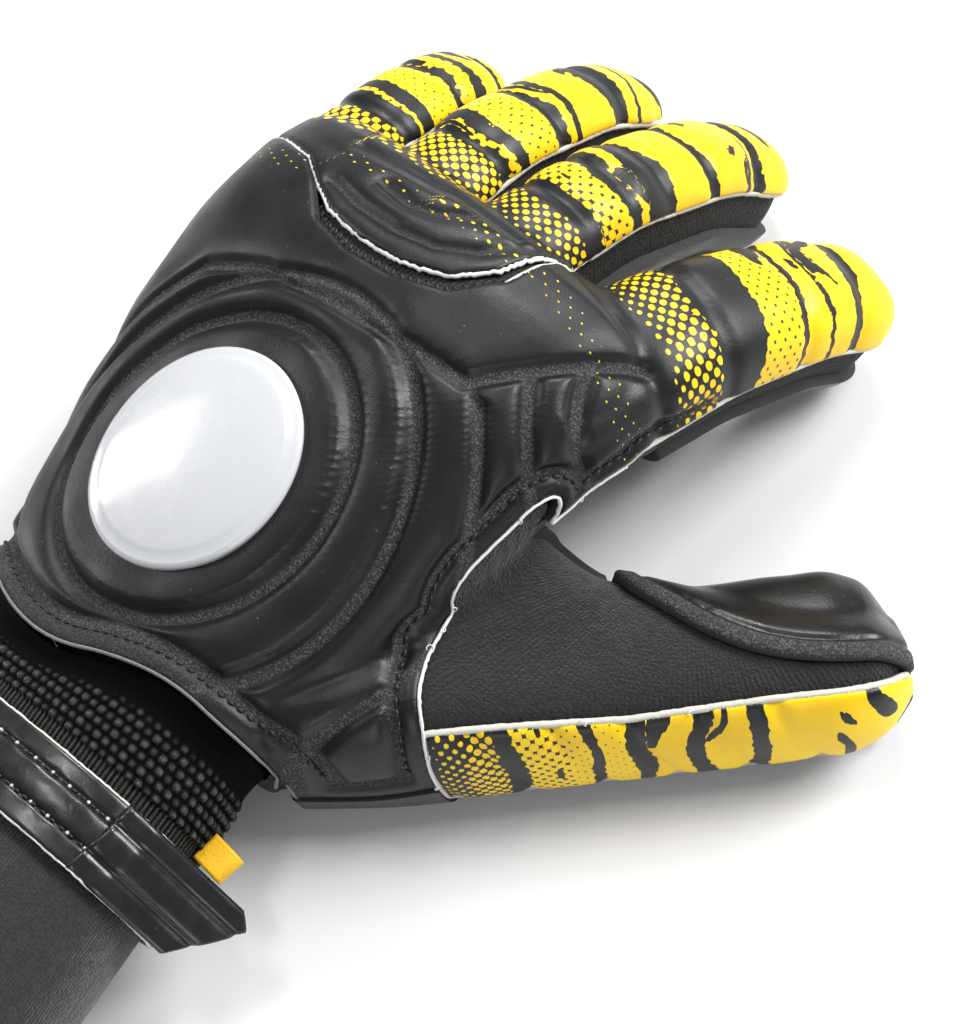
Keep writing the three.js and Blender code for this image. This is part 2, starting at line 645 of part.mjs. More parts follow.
// The lean of the resting glove, and the floor that flattens its soft spots
const lean = new THREE.Matrix4().makeRotationFromEuler(
  new THREE.Euler(radians(REST.tiltX), radians(REST.tiltY), 0),
);
const placed = new THREE.Matrix4().makeTranslation(-ORIGIN.x, -ORIGIN.y, -REST.sink).multiply(lean);
function floorBlock() {
  const toHand = placed.clone().invert();
  const ring = (z) => [[-1, -1], [1, -1], [1, 1], [-1, 1]]
    .map(([x, y]) => new THREE.Vector3(3 * FAR * x, 3 * FAR * y, z).applyMatrix4(toHand));
  return loft([ring(-FAR), ring(0)]);
}
const floor = floorBlock();

function meshFrom(name, solid, look) {
  const { vertProperties, triVerts } = solid.getMesh();
  const geometry = new THREE.BufferGeometry();
  geometry.setAttribute('position', new THREE.BufferAttribute(new Float32Array(vertProperties), 3));
  geometry.setIndex(new THREE.BufferAttribute(new Uint32Array(triVerts), 1));
  geometry.computeVertexNormals();
  const mesh = new THREE.Mesh(geometry, look);
  mesh.name = name;
  return mesh;
}

const glove = new THREE.Group();
PIECES.forEach(([name, make, look]) => {
  glove.add(meshFrom(name, mainBody(make().subtract(floor)), look));
});
glove.applyMatrix4(placed);

export default glove;
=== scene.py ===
"""The looks of a left-hand soccer goalkeeper glove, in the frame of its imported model.

The soft panels are cut from one smooth form of the hand. That form is lofted from the tables
below, which are in millimetres and in the hand's own frame. to_world() leans the hand as the
glove rests and gives metres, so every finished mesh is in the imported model's frame.
"""

import math

import bpy
import numpy as np
from mathutils import Euler, Matrix, Vector
from mathutils.bvhtree import BVHTree
from mathutils.kdtree import KDTree


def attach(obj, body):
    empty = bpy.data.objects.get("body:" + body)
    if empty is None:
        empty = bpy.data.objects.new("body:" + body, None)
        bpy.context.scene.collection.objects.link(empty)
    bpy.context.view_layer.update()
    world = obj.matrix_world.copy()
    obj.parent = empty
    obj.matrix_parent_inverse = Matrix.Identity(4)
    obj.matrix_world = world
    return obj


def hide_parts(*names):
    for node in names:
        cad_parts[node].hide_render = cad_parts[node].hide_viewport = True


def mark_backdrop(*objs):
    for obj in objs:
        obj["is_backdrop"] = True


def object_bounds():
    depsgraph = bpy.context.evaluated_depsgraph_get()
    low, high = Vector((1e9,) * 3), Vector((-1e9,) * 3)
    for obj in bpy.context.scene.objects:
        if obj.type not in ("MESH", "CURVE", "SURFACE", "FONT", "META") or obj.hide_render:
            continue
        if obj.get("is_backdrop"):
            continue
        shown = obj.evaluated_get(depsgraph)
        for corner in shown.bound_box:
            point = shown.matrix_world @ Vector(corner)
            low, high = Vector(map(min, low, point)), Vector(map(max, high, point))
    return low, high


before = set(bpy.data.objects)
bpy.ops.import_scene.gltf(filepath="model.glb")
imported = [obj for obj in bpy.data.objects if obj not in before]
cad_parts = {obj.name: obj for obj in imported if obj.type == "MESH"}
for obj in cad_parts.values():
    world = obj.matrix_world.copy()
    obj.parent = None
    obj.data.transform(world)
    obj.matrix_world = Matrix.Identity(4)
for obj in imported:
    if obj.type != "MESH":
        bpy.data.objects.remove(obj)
CAD_BOX = [list(corner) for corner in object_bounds()]
bpy.ops.object.select_all(action="DESELECT")

# Driving sizes, in millimetres and degrees, as in the model's source
MM = 0.001
SEAM_GAP = 0.3
SQUARENESS = 2.4
REST_TILT_X = -2.8
REST_TILT_Y = -3.0
REST_SINK = 1.9
ORIGIN_X = 32.45
ORIGIN_Y = 57.63
FINE_CELL = 0.7
COARSE_CELL = 1.25
PAD_WALL = 3.6
FABRIC_WALL = 1.4
FABRIC_DEPTH = 2.4
LINE_STEP = 0.8
STITCH_ARCH = 0.3
FRAY_STEPS = 16
FRAY_RADIUS = 0.13
FACE_ROUNDS = 5
RIM_KEPT = 1.3

# The hand's trunk: each section's place and slope, and its reach to the little finger, to the
# thumb, up and down
TRUNK = [
    (-78, 25, 0, 20, 42, 43, 25, 25),
    (-55, 25, 0, 15, 41, 42, 25, 25),
    (-30, 25, 1, 9, 41, 42, 24, 25),
    (-10, 25, 8, 3, 43, 44, 24, 24),
    (14, 29, 16, 0, 47, 50, 26, 26),
    (42, 38, 18, 0, 53, 56, 27, 27),
    (70, 47, 18, 0, 57, 60, 27, 25),
    (94, 55, 14, 0, 57, 63, 25, 20),
    (108, 58, 8, 0, 55, 61, 20, 16),
    (117, 58, 0, 0, 52, 57, 14, 11),
    (121, 57, 0, 0, 47, 50, 8, 8),
]

# Each finger: knuckle, lean to the thumb, bones, their dips, and a value at the knuckle and at
# the tip of each reach and of the heights of the back pad's and the front pad's edge
FINGERS = {
    "index": dict(
        x=40, y=92, z=58, lean=12, bones=(42, 28, 28), dip=(14, 28, 44),
        inner=(23, 14.5), outer=(14.5, 14), top=(14, 13), bottom=(27, 17),
        pad_edge=(-8, 1), palm_edge=(-19, -9),
    ),
    "middle": dict(
        x=13, y=97, z=61, lean=-1, bones=(45, 30, 31), dip=(13, 29, 46),
        inner=(14.5, 14), outer=(14.5, 14), top=(14, 13), bottom=(18, 16),
        pad_edge=(5, 3), palm_edge=(-7, -7),
    ),
    "ring": dict(
        x=-14, y=94, z=57, lean=-6, bones=(42, 28, 29), dip=(7, 25, 42),
        inner=(14, 14), outer=(14, 13.5), top=(13.5, 12.5), bottom=(17, 15),
        pad_edge=(6, 4), palm_edge=(-7, -7),
    ),
    "little": dict(
        x=-39, y=85, z=51, lean=-11, bones=(35, 22, 26), dip=(0, 18, 34),
        inner=(13.5, 13), outer=(13.5, 12.5), top=(12.5, 11.5), bottom=(15, 14),
        pad_edge=(6, 4), palm_edge=(-6, -6),
    ),
}
NAMES = list(FINGERS)
JOINT_BEND = 16
TIP_ROUNDNESS = 15

# The thumb with its web: distance along it, and its reach to the fingers, away, up and down
THUMB_ROOT = (40, 12, 20)
THUMB_LEAN = 41
THUMB_DIP = 1
THUMB = [
    (0, 50, 13, 24, 18),
    (22, 60, 15, 24, 19),
    (44, 58, 15, 22, 19),
    (58, 44, 15, 20, 19),
    (70, 31, 15, 19, 19),
    (88, 26, 15, 19, 19),
    (108, 26, 15, 18, 18),
    (121, 25, 14, 16, 17),
    (128, 20, 10, 13, 14),
    (132, 12, 5, 8, 8),
]

# Seams along the thumb: distance, front and back edge of the fabric, the back strip's lower
# edge and the lower fabric's far edge, as angles round the thumb
THUMB_SEAMS = [
    (-20, -10, 119, 215, 250),
    (50, -10, 125, 215, 250),
    (75, -10, 130, 215, 250),
    (104, -10, 127, 213, 248),
    (145, -10, 129, 205, 232),
]
THUMB_PALM_START = 52

# Height of the seam between back and palm, at the little finger's and at the thumb's side
TRUNK_SEAM = [(-100, 25, 19), (-10, 25, 18), (14, 29, 17), (42, 38, 26), (94, 55, 45)]
SEAM_SPAN = 55
FINGER_START = 101

# Seams seen from above
THUMB_LINE = [
    (86, -90), (86, 8), (74, 24), (71, 30), (64.7, 35.4), (58.5, 45), (57.5, 54),
    (59, 66.5), (61, 79), (64.2, 87), (67, 93), (76, 110), (84, 140), (84, 240),
]
WRIST_LINE = [
    (-150, -4), (-55, -4), (-35, -8), (-16, -12), (-1, -11), (13, -4), (28, 1), (43, 2),
    (58, 6), (150, 6),
]
KNUCKLE_LINE = [
    (-120, 108), (-62, 104), (-48, 103), (-34, 101), (-25, 96.5), (-16, 91.5), (-4, 90),
    (9, 91.5), (20, 96), (26.5, 105), (27.5, 116), (28, 126), (38, 240),
]
LATEX_LINE = [
    (0, 90), (61, 88), (74, 83), (85, 83.5), (97, 84.5), (108.5, 88.5), (119, 96),
    (127, 106), (140, 126),
]
SECTOR_LINES = [
    [(28, 90), (28, 126), (38, 240)],
    [(-1, 90), (-1, 125), (-7, 240)],
    [(-27, 90), (-29.5, 118), (-47, 240)],
]

# The badge's middle, the lean of its long axis and its two half axes
BADGE = dict(x=-0.6, y=35.8, lean=41, long=26, short=23)

# The badge's dome: its height, its base over the panel, its wall, and the groove inside its rim
# (where it runs, as a share of the half axes, how wide and how deep)
DOME = dict(height=2.6, base=0.3, wall=1.6, groove_at=0.925, groove_half=0.02, groove_depth=0.35)

# The strap's line round the wrist and its two stitched rows
STRAP = dict(middle=-35.5, tilt=7, width=17.6, proud=0.6, wall=2.6, rib=0.9, row=0.6)
STRAP_HALF = STRAP["width"] / 2
STRAP_ROWS = (-3.4, 3.9)
STRAP_PIPING = [(-0.3, -0.2), (0.3, -0.2), (0.35, -0.9), (-0.35, -0.9)]
PIPING_LINE = 8.7

# The strap's free end: where it leaves the wrist and at what angle, its reach, how steeply it
# is cut above and below its point, its height over its base, and how far it curls up
STRAP_END = {
    "x": 44, "z": 42, "angle": -52, "root": -4, "reach": 31.5, "point": 6, "cut_above": 1.3,
    "cut_below": 0.62, "base": 0.2, "height": 2.1, "curl": 1.6, "sunk": 2.4,
}

# Width and length of a knitted bump, and the pitch and reach of the ribs beside the strap
BUMP = (2.5, 2.35)
FINE_RIB = 1.25
FINE_BAND = (3.9, 3.1)

# Loose threads: the place they start near, their length and how far they curl
RADIAL_FRAYS = [
    (57.6, 52, 3.2, 4.2), (57.6, 48.5, 2.4, -3.5), (60, 43, 4.0, 5.0), (60.5, 72, 2.2, 3.4),
    (72, 28, 2.6, -4.0), (61.5, 86, 2.0, 3.0),
]
THUMB_FRAYS = [(84, 60, 3.4, -4.4), (86, 62, 2.4, 3.6), (98, 78, 2.2, 3.8)]

# The tab's middle, its width, and its fold's section: how far out and how far up
TAB = {"place": (49.2, -15.9, 22), "width": 6.8, "depth": 0.8}
TAB_FOLD = [
    (-2.0, 1.5), (1.5, 1.6), (3.8, 1.4), (5.0, 0.7),
    (5.2, -0.2), (4.5, -1.2), (2, -1.5), (-2, -1.4),
]

# Height of the back panel's edge beside the thumb; the web covers the wall below it
WALL_EDGE = [(38, 34), (45, 37), (54, 42), (66, 46), (79, 46.5), (90, 46.5), (108, 46)]

# Each ring groove: its reach along the long axis of the badge, and across it to the thumb and
# to the little finger
RINGS = [(36.6, 32.6, 31.0), (50.0, 46.5, 39.5), (63.0, 60.0, 46.0)]
TOP_GROOVE = [(38.6, 82.2), (20, 80), (0, 77.5), (-20, 74), (-40, 65), (-62, 45)]
BACK_GROOVES = [
    [(38.6, 82.2), (49.6, 98), (58.5, 111.5)],
    [(47.5, 92.3), (53.5, 84.5), (60.5, 76)],
    [(53.8, 101.5), (57, 95.5), (62, 89)],
]
KNUCKLE_GROOVES = [
    [(-22, 99.5), (-12, 98), (0, 98.5), (10, 101), (18, 106.5), (23, 116)],
    [(-12, 106), (-4, 105.5), (3, 108), (8, 113)],
]
GROOVE_DEPTH = 2.3
GROOVE_HALF = 0.85
GROOVE_ROUND = 1.7
PAD_REACH = 6.5
HEM = 5.6
HEM_WIDTHS = [(90, 5.6), (104, 4.8), (116, 3.8), (126, 3.0)]

# Creases across the padding, as distances along each finger and along the thumb
FINGER_CREASES = {
    "index": (22, 40, 61.5, 77, 90),
    "middle": (15, 32, 43.5, 52.5, 67.5, 82),
    "ring": (16, 35.5, 53, 73, 88),
    "little": (18, 38, 57, 73),
}
THUMB_CREASES = (31, 47, 63, 78, 93, 108)

# How far the thumb's latex sags, how high its lip stands, and the fold beside the lip: where it
# runs, how deep and how wide
THUMB_DISH = dict(sag=2.9, lip=0.5, fold_at=4.2, fold_depth=0.7, fold_half=0.5)

# Yellow along a finger: a place, in millimetres from the knuckle, and how full the yellow is
# from there on
FINGER_TONES = {
    "index": [
        (0, 0), (10, 0.16), (16, 0), (26, 0.4), (29, 0.56), (38.5, 0), (49, 0.86), (60.5, 0),
        (62, 1.1), (66.5, 0), (67.5, 1.1), (74, 0), (78, 1.1),
    ],
    "middle": [
        (0, 0), (6, 0.17), (8.5, 0.3), (12.5, 0), (19, 0.36), (22, 0.54), (28, 0), (33.5, 0.72),
        (37, 0.82), (42, 0), (45, 1.1), (47, 0), (54.5, 1.1), (66, 0), (69, 1.1), (80, 0),
        (81.5, 1.1), (82.7, 0), (85.5, 1.1),
    ],
    "ring": [
        (0, 0), (9, 0.2), (13, 0), (20, 0.44), (26, 0.62), (34, 0), (36.5, 0.8), (38.5, 0),
        (41.5, 0.88), (51, 0), (55, 1.1), (57.5, 0), (59.5, 1.1), (69.5, 0), (75.5, 1.1),
        (79.5, 0), (81, 1.1), (90, 0),
    ],
    "little": [
        (0, 0), (11, 0.16), (14, 0), (27.5, 0.5), (31, 0.64), (37, 0), (41.8, 0.84), (43.2, 0),
        (47, 0.91), (56, 0), (58, 0.93), (62, 0), (65.3, 1.1), (71.5, 0), (74.5, 1.1),
    ],
}
THUMB_TONES = [
    (0, 0.3), (6, 0.44), (12, 0), (15, 0.42), (21, 0.6), (27, 0), (31, 0.75), (41, 0.9), (45, 0),
    (47.5, 0.93), (54, 0), (57.5, 1.1), (66, 0), (70.5, 1.1), (78, 0), (82, 1.1),
]
TONE_SPAN = 110

# Camera in the hand's frame, fitted to the photograph
CAMERA_PLACE = (269.4, -27.0, 407.3)
CAMERA_AZIMUTH = 66.18
CAMERA_ELEVATION = 55.98
CAMERA_ROLL = -22.4
CAMERA_LENS = 73.3

# The studio's soft light from all sides
SKY = (0.9, 0.93, 1, 1)
SKY_STRENGTH = 0.24


def rounded(line, rounds=2):
    """A line with its corners cut."""
    for _ in range(rounds):
        made = [line[0]]
        for (ax, ay), (bx, by) in zip(line, line[1:]):
            share = min(0.25, 4 / math.hypot(bx - ax, by - ay))
            made.append((ax + share * (bx - ax), ay + share * (by - ay)))
            made.append((bx - share * (bx - ax), by - share * (by - ay)))
        line = made + [line[-1]]
    return line


WRIST_LINE = rounded(WRIST_LINE)
THUMB_LINE = rounded(THUMB_LINE)
LATEX_LINE = rounded(LATEX_LINE)
TOP_GROOVE = rounded(TOP_GROOVE)
LEAN = Euler((math.radians(REST_TILT_X), math.radians(REST_TILT_Y), 0)).to_matrix()


def to_world(points):
    """Points of the hand's frame, in millimetres, as points of the part, in metres."""
    turned = np.asarray(points, float) @ np.array(LEAN).T
    placed = turned - np.array([ORIGIN_X, ORIGIN_Y, REST_SINK])
    return placed * MM


def to_hand(points):
    """Points of the part, in metres, as points of the hand's frame, in millimetres."""
    placed = np.asarray(points, float) / MM + np.array([ORIGIN_X, ORIGIN_Y, REST_SINK])
    return placed @ np.array(LEAN)


def pressed(points, floor=0.0):
    """Points of the part with the floor pressed into its lowest spots."""
    placed = to_world(points)
    placed[:, 2] = np.maximum(placed[:, 2], floor * MM)
    return placed


# Lofted forms


def frames_at(centers, lean, dips):
    """Side, up and forward directions of sections along an axis."""
    lean = math.radians(lean)
    dips = np.radians(dips)
    side = np.tile([math.cos(lean), -math.sin(lean), 0.0], (len(dips), 1))
    forward = np.stack(
        [math.sin(lean) * np.cos(dips), math.cos(lean) * np.cos(dips), -np.sin(dips)], 1
    )
    return np.asarray(centers, float), side, np.cross(side, forward), forward


def smoothstep(low, high, value):
    t = np.clip((value - low) / (high - low), 0, 1)
    return t * t * (3 - 2 * t)


def rings(frames, reach, sides):
    """Rounded sections: reach holds right, left, top and bottom for each frame."""
    centers, side, up, _ = frames
    angle = np.linspace(0, 2 * math.pi, sides, endpoint=False)
    power = 2 / SQUARENESS
    c = np.sign(np.cos(angle)) * np.abs(np.cos(angle)) ** power
    s = np.sign(np.sin(angle)) * np.abs(np.sin(angle)) ** power
    right, left, top, bottom = (np.asarray(r, float)[:, None] for r in reach)
    across = np.where(c > 0, right, left) * c
    height = np.where(s > 0, top, bottom) * s
    return centers[:, None] + across[..., None] * side[:, None] + height[..., None] * up[:, None]


def smooth_rows(table, key_values, columns):
    """Columns of a table read along its first one, on a curve through its rows."""
    table = np.array(table, float)
    keys = table[:, 0]
    slopes = np.gradient(table, keys, axis=0)
    i = np.clip(np.searchsorted(keys, key_values, side="right") - 1, 0, len(keys) - 2)
    h = (keys[i + 1] - keys[i])[:, None]
    t = ((key_values - keys[i])[:, None] / h).clip(0, 1)
    a, b = table[i], table[i + 1]
    curve = (
        (2 * t**3 - 3 * t**2 + 1) * a
        + (t**3 - 2 * t**2 + t) * h * slopes[i]
        + (-2 * t**3 + 3 * t**2) * b
        + (t**3 - t**2) * h * slopes[i + 1]
    )
    return curve[:, columns]


def trunk_rings(ys, sides, proud=0.0):
    """Sections of the trunk at values of y, grown by a distance."""
    rows = smooth_rows(TRUNK, np.asarray(ys, float), range(8))
    centers = np.stack([rows[:, 3], rows[:, 0], rows[:, 1]], 1)
    frames = frames_at(centers, 0, -rows[:, 2])
    reach = [rows[:, 5] + proud, rows[:, 4] + proud, rows[:, 6] + proud, rows[:, 7] + proud]
    return rings(frames, reach, sides)


def finger_axis(finger, step=1.0):
    """Frames along a finger and their distances from the knuckle."""
    total = sum(finger["bones"])
    joints = np.cumsum(finger["bones"])[:2]
    count = int(round(total / step))
    s = np.linspace(0, total, count + 1)

    def dip_at(distance):
        dip = np.full_like(distance, finger["dip"][0])
        for k, joint in enumerate(joints):
            bent = smoothstep(joint - JOINT_BEND / 2, joint + JOINT_BEND / 2, distance)
            dip = dip + (finger["dip"][k + 1] - finger["dip"][k]) * bent
        return dip

    middle = (s[:-1] + s[1:]) / 2
    steps = frames_at(np.zeros((count, 3)), finger["lean"], dip_at(middle))[3] * (total / count)
    start = np.array([finger["x"], finger["y"], finger["z"]], float)
    centers = start + np.vstack([np.zeros(3), np.cumsum(steps, 0)])
    return frames_at(centers, finger["lean"], dip_at(s)), s


def finger_rings(finger, sides):
    frames, s = finger_axis(finger)
    total = s[-1]
    share = s / total
    closed = np.clip(1 - (total - s) / TIP_ROUNDNESS, 0, 1)
    round_share = np.sqrt(np.clip(1 - closed**2, 0.0004, 1))
    reach = [
        (finger[key][0] + (finger[key][1] - finger[key][0]) * share) * round_share
        for key in ("inner", "outer", "top", "bottom")
    ]
    return rings(frames, reach, sides)


def thumb_frames(alongs):
    base = frames_at(np.array([THUMB_ROOT], float), THUMB_LEAN, np.array([THUMB_DIP]))
    centers = base[0] + np.asarray(alongs, float)[:, None] * base[3]
    return frames_at(centers, THUMB_LEAN, np.full(len(alongs), THUMB_DIP))


def thumb_rings(sides):
    alongs = np.append(np.arange(0, 130, 2.0), [130, 131, 132])
    rows = smooth_rows(THUMB, alongs, range(5))
    reach = [rows[:, 2], rows[:, 1], rows[:, 3], rows[:, 4]]
    return rings(thumb_frames(alongs), reach, sides)


def grid_faces(rows, columns, rows_close=False, columns_close=False):
    """Quads between the neighbours of a grid of points that is numbered row by row."""
    r = np.arange(rows if rows_close else rows - 1)
    c = np.arange(columns if columns_close else columns - 1)
    r, c = np.meshgrid(r, c, indexing="ij")
    this, below, beside = r * columns, (r + 1) % rows * columns, (c + 1) % columns
    return np.stack([this + c, this + beside, below + beside, below + c], -1).reshape(-1, 4)


def slab_faces(rows, columns):
    """Faces of two such grids, one behind the other, and last of the rim that joins them."""
    count = rows * columns
    grid = np.arange(count).reshape(rows, columns)
    rim = np.concatenate([grid[0, :-1], grid[:-1, -1], grid[-1, :0:-1], grid[:0:-1, 0]])
    after = np.roll(rim, -1)
    skin = grid_faces(rows, columns)
    sides = np.stack([after, rim, rim + count, after + count], 1)
    return np.vstack([skin, skin[:, ::-1] + count, sides]).tolist()


def loft_faces(count, sides):
    """Quads of a closed tube and the fans of its two ends."""
    last = (count - 1) * sides
    ends = [list(range(sides)), list(range(last + sides - 1, last - 1, -1))]
    return grid_faces(count, sides, False, True)[:, [0, 3, 2, 1]].tolist() + ends


def new_object(name, verts, faces):
    mesh = bpy.data.meshes.new(name)
    mesh.from_pydata([tuple(v) for v in verts], [], faces)
    mesh.update()
    piece = bpy.data.objects.new(name, mesh)
    bpy.context.scene.collection.objects.link(piece)
    return piece


def read(items, key, width=1, kind=float):
    """One value, or one row of values, of each of a mesh's items."""
    found = np.empty(len(items) * width, kind)
    items.foreach_get(key, found)
    return found.reshape(-1, width) if width > 1 else found


def add_mark(mesh, key, value, kind="FLOAT", domain="POINT"):
    mesh.attributes.new(key, kind, domain).data.foreach_set("value", value)


def apply_modifiers(piece):
    bpy.context.view_layer.objects.active = piece
    piece.select_set(True)
    for modifier in list(piece.modifiers):
        bpy.ops.object.modifier_apply(modifier=modifier.name)
    piece.select_set(False)


def hand_form(cell, rounds):
    """The whole hand as one smooth closed mesh: points, normals and triangles."""
    lofts = [trunk_rings(np.append(np.arange(-78, 118, 3.0), [119, 121]), 96), thumb_rings(64)]
    lofts += [finger_rings(FINGERS[name], 48) for name in NAMES]
    verts = []
    faces = []
    for loft in lofts:
        count, sides, _ = loft.shape
        faces += [[k + len(verts) for k in face] for face in loft_faces(count, sides)]
        verts += loft.reshape(-1, 3).tolist()
    form = new_object("form", verts, faces)
    remesh = form.modifiers.new("join", "REMESH")
    remesh.mode = "VOXEL"
    remesh.voxel_size = cell
    smooth = form.modifiers.new("smooth", "SMOOTH")
    smooth.factor = 0.5
    smooth.iterations = rounds
    apply_modifiers(form)
    mesh = form.data
    mesh.calc_loop_triangles()
    points = read(mesh.vertices, "co", 3)
    normals = read(mesh.vertices, "normal", 3)
    tris = read(mesh.loop_triangles, "vertices", 3, np.int64)
    bpy.data.objects.remove(form)
    tips = points[tris]
    volume = np.einsum("ij,ij->i", tips[:, 0], np.cross(tips[:, 1], tips[:, 2])).sum()
    if volume < 0:
        return points, -normals, tris[:, ::-1]
    return points, normals, tris


# Cutting a form along a field's zero line


def rolled(tris, first):
    index = (np.arange(3)[None] + first[:, None]) % 3
    return np.take_along_axis(tris, index, 1)


def clip(surface, value):
    """The part of a surface where a value per point is positive, cut along its zero line."""
    points, normals, tris = surface
    value = np.where(np.abs(value) < 1e-4, 1e-4, value)
    inside = value[tris] > 0
    count = inside.sum(1)
    one = rolled(tris[count == 1], inside[count == 1].argmax(1))
    two = rolled(tris[count == 2], (~inside[count == 2]).argmax(1))
    edges = np.vstack([one[:, [0, 1]], one[:, [0, 2]], two[:, [0, 1]], two[:, [0, 2]]])
    edges, back = np.unique(np.sort(edges, 1), axis=0, return_inverse=True)
    back = back.ravel() + len(points)
    a, b = edges.T
    t = (value[a] / (value[a] - value[b]))[:, None]
    points = np.vstack([points, points[a] * (1 - t) + points[b] * t])
    normals = np.vstack([normals, normals[a] * (1 - t) + normals[b] * t])
    n1, n2 = len(one), len(two)
    one_b, one_c = back[:n1], back[n1 : 2 * n1]
    two_b, two_c = back[2 * n1 : 2 * n1 + n2], back[2 * n1 + n2 :]
    made = np.vstack(
        [
            tris[count == 3],
            np.stack([one[:, 0], one_b, one_c], 1),
            np.stack([two_b, two[:, 1], two[:, 2]], 1),
            np.stack([two_b, two[:, 2], two_c], 1),
        ]
    )
    used, tris = np.unique(made, return_inverse=True)
    tris = tris.reshape(-1, 3)
    normals = normals[used]
    normals /= np.linalg.norm(normals, axis=1)[:, None]
    return points[used], normals, tris


def main_part(surface):
    """The largest connected part of a surface."""
    points, normals, tris = surface
    label = np.arange(len(points))
    while True:
        low = label[tris].min(1)
        fresh = label.copy()
        np.minimum.at(fresh, tris.ravel(), np.repeat(low, 3))
        fresh = fresh[fresh]
        if (fresh == label).all():
            break
        label = fresh
    names, counts = np.unique(label[tris[:, 0]], return_counts=True)
    tris = tris[label[tris[:, 0]] == names[counts.argmax()]]
    used, tris = np.unique(tris, return_inverse=True)
    return points[used], normals[used], tris.reshape(-1, 3)


def border_edges(tris):
    """Directed edges that only one triangle has."""
    edges = np.vstack([tris[:, [0, 1]], tris[:, [1, 2]], tris[:, [2, 0]]])
    flipped = edges[:, ::-1]
    size = tris.max() + 1
    code = edges[:, 0] * size + edges[:, 1]
    code_back = flipped[:, 0] * size + flipped[:, 1]
    return edges[~np.isin(code, code_back)]


def border_runs(surface, keep=None):
    """Ordered borders of a surface where keep holds: lists of point numbers, with True for a
    closed one. The surface lies on their left."""
    edges = border_edges(surface[2])
    if keep is not None:
        edges = edges[keep[edges[:, 0]] & keep[edges[:, 1]]]
    after = dict(edges.tolist())
    starts = [a for a in after if a not in set(after.values())]
    runs = []
    while after:
        first = starts.pop() if starts else next(iter(after))
        run = [first]
        while run[-1] in after:
            run.append(after.pop(run[-1]))
            if run[-1] == first:
                break
        closed = run[-1] == first and len(run) > 2
        runs.append((run[:-1] if closed else run, closed))
    return runs


def even_line(points, normals, closed, step, rounds=3):
    """A smoothed line at even steps: its points, normals and tangents."""
    p = np.array(points, float)
    n = np.array(normals, float)
    if closed:
        p, n = np.vstack([p, p[:1]]), np.vstack([n, n[:1]])
    for _ in range(rounds):
        p[1:-1] = (p[:-2] + 2 * p[1:-1] + p[2:]) / 4
        n[1:-1] = (n[:-2] + 2 * n[1:-1] + n[2:]) / 4
    run = np.append(0, np.cumsum(np.linalg.norm(np.diff(p, axis=0), axis=1)))
    count = max(3, int(run[-1] / step))
    at = np.linspace(0, run[-1], count + 1)
    if closed:
        at = at[:-1]
    p = np.stack([np.interp(at, run, p[:, k]) for k in range(3)], 1)
    n = np.stack([np.interp(at, run, n[:, k]) for k in range(3)], 1)
    n /= np.linalg.norm(n, axis=1)[:, None]
    if closed:
        t = np.roll(p, -1, 0) - np.roll(p, 1, 0)
    else:
        t = np.gradient(p, axis=0)
    t /= np.linalg.norm(t, axis=1)[:, None].clip(1e-9)
    return p, n, t


def strip_mesh(name, lines, profile, material, rough=0.0, uneven=0.0):
    """Strips along lines, each with the same cross-section: a table of distances out from
    the surface's border and up from the surface."""
    rng = np.random.default_rng(7)
    verts = []
    faces = []
    sides = len(profile)
    for p, n, t, closed in lines:
        out = np.cross(t, n)
        count = len(p)
        scale = 1 + rough * rng.standard_normal((count, 1))
        sway = uneven * np.convolve(rng.standard_normal(count + 4), np.ones(5) / 5, "valid")
        base = len(verts)
        for k in range(count):
            for a, b in profile:
                shift = out[k] * (a * scale[k, 0] + sway[k]) + n[k] * b * scale[k, 0]
                verts.append(p[k] + shift)
        faces += (grid_faces(count, sides, closed, True) + base).tolist()
        if not closed:
            faces.append([base + j for j in range(sides)][::-1])
            faces.append([base + (count - 1) * sides + j for j in range(sides)])
    made = new_object(name, pressed(verts), faces)
    made.data.materials.append(material)
    made.data.shade_smooth()
    return made


def stitch_mesh(name, lines, material, spacing, length, radius, turn=0.0):
    """Short rounded stitches along lines of points, normals and tangents."""
    rng = np.random.default_rng(11)
    verts = []
    faces = []
    ring_at = [(-1.0, 0.35), (-0.6, 0.9), (0.0, 1.0), (0.6, 0.9), (1.0, 0.35)]
    sides = 6
    for p, n, t, closed in lines:
        run = np.append(0, np.cumsum(np.linalg.norm(np.diff(p, axis=0), axis=1)))
        for at in np.arange(spacing / 2, run[-1], spacing):
            at = at + rng.uniform(-0.08, 0.08) * spacing
            center = np.array([np.interp(at, run, p[:, k]) for k in range(3)])
            up = np.array([np.interp(at, run, n[:, k]) for k in range(3)])
            way = np.array([np.interp(at, run, t[:, k]) for k in range(3)])
            across = np.cross(way, up)
            angle = math.radians(turn + rng.uniform(-7, 7))
            way, across = (
                way * math.cos(angle) + across * math.sin(angle),
                across * math.cos(angle) - way * math.sin(angle),
            )
            base = len(verts)
            for share, size in ring_at:
                arch = -STITCH_ARCH * abs(share) ** 2 * 1.6
                for j in range(sides):
                    a = 2 * math.pi * j / sides
                    offset = across * math.cos(a) * radius * size
                    offset = offset + up * (math.sin(a) * radius * size + arch + radius * 0.3)
                    verts.append(center + way * share * length / 2 + offset)
            faces += (grid_faces(len(ring_at), sides, False, True) + base).tolist()
            last = base + (len(ring_at) - 1) * sides
            faces.append([base + j for j in range(sides)][::-1])
            faces.append([last + j for j in range(sides)])
    made = new_object(name, pressed(verts), faces)
    made.data.materials.append(material)
    made.data.shade_smooth()
    return made


def join_to(piece, *others):
    bpy.ops.object.select_all(action="DESELECT")
    for other in others:
        other.select_set(True)
    piece.select_set(True)
    bpy.context.view_layer.objects.active = piece
    bpy.ops.object.join()
    piece.select_set(False)


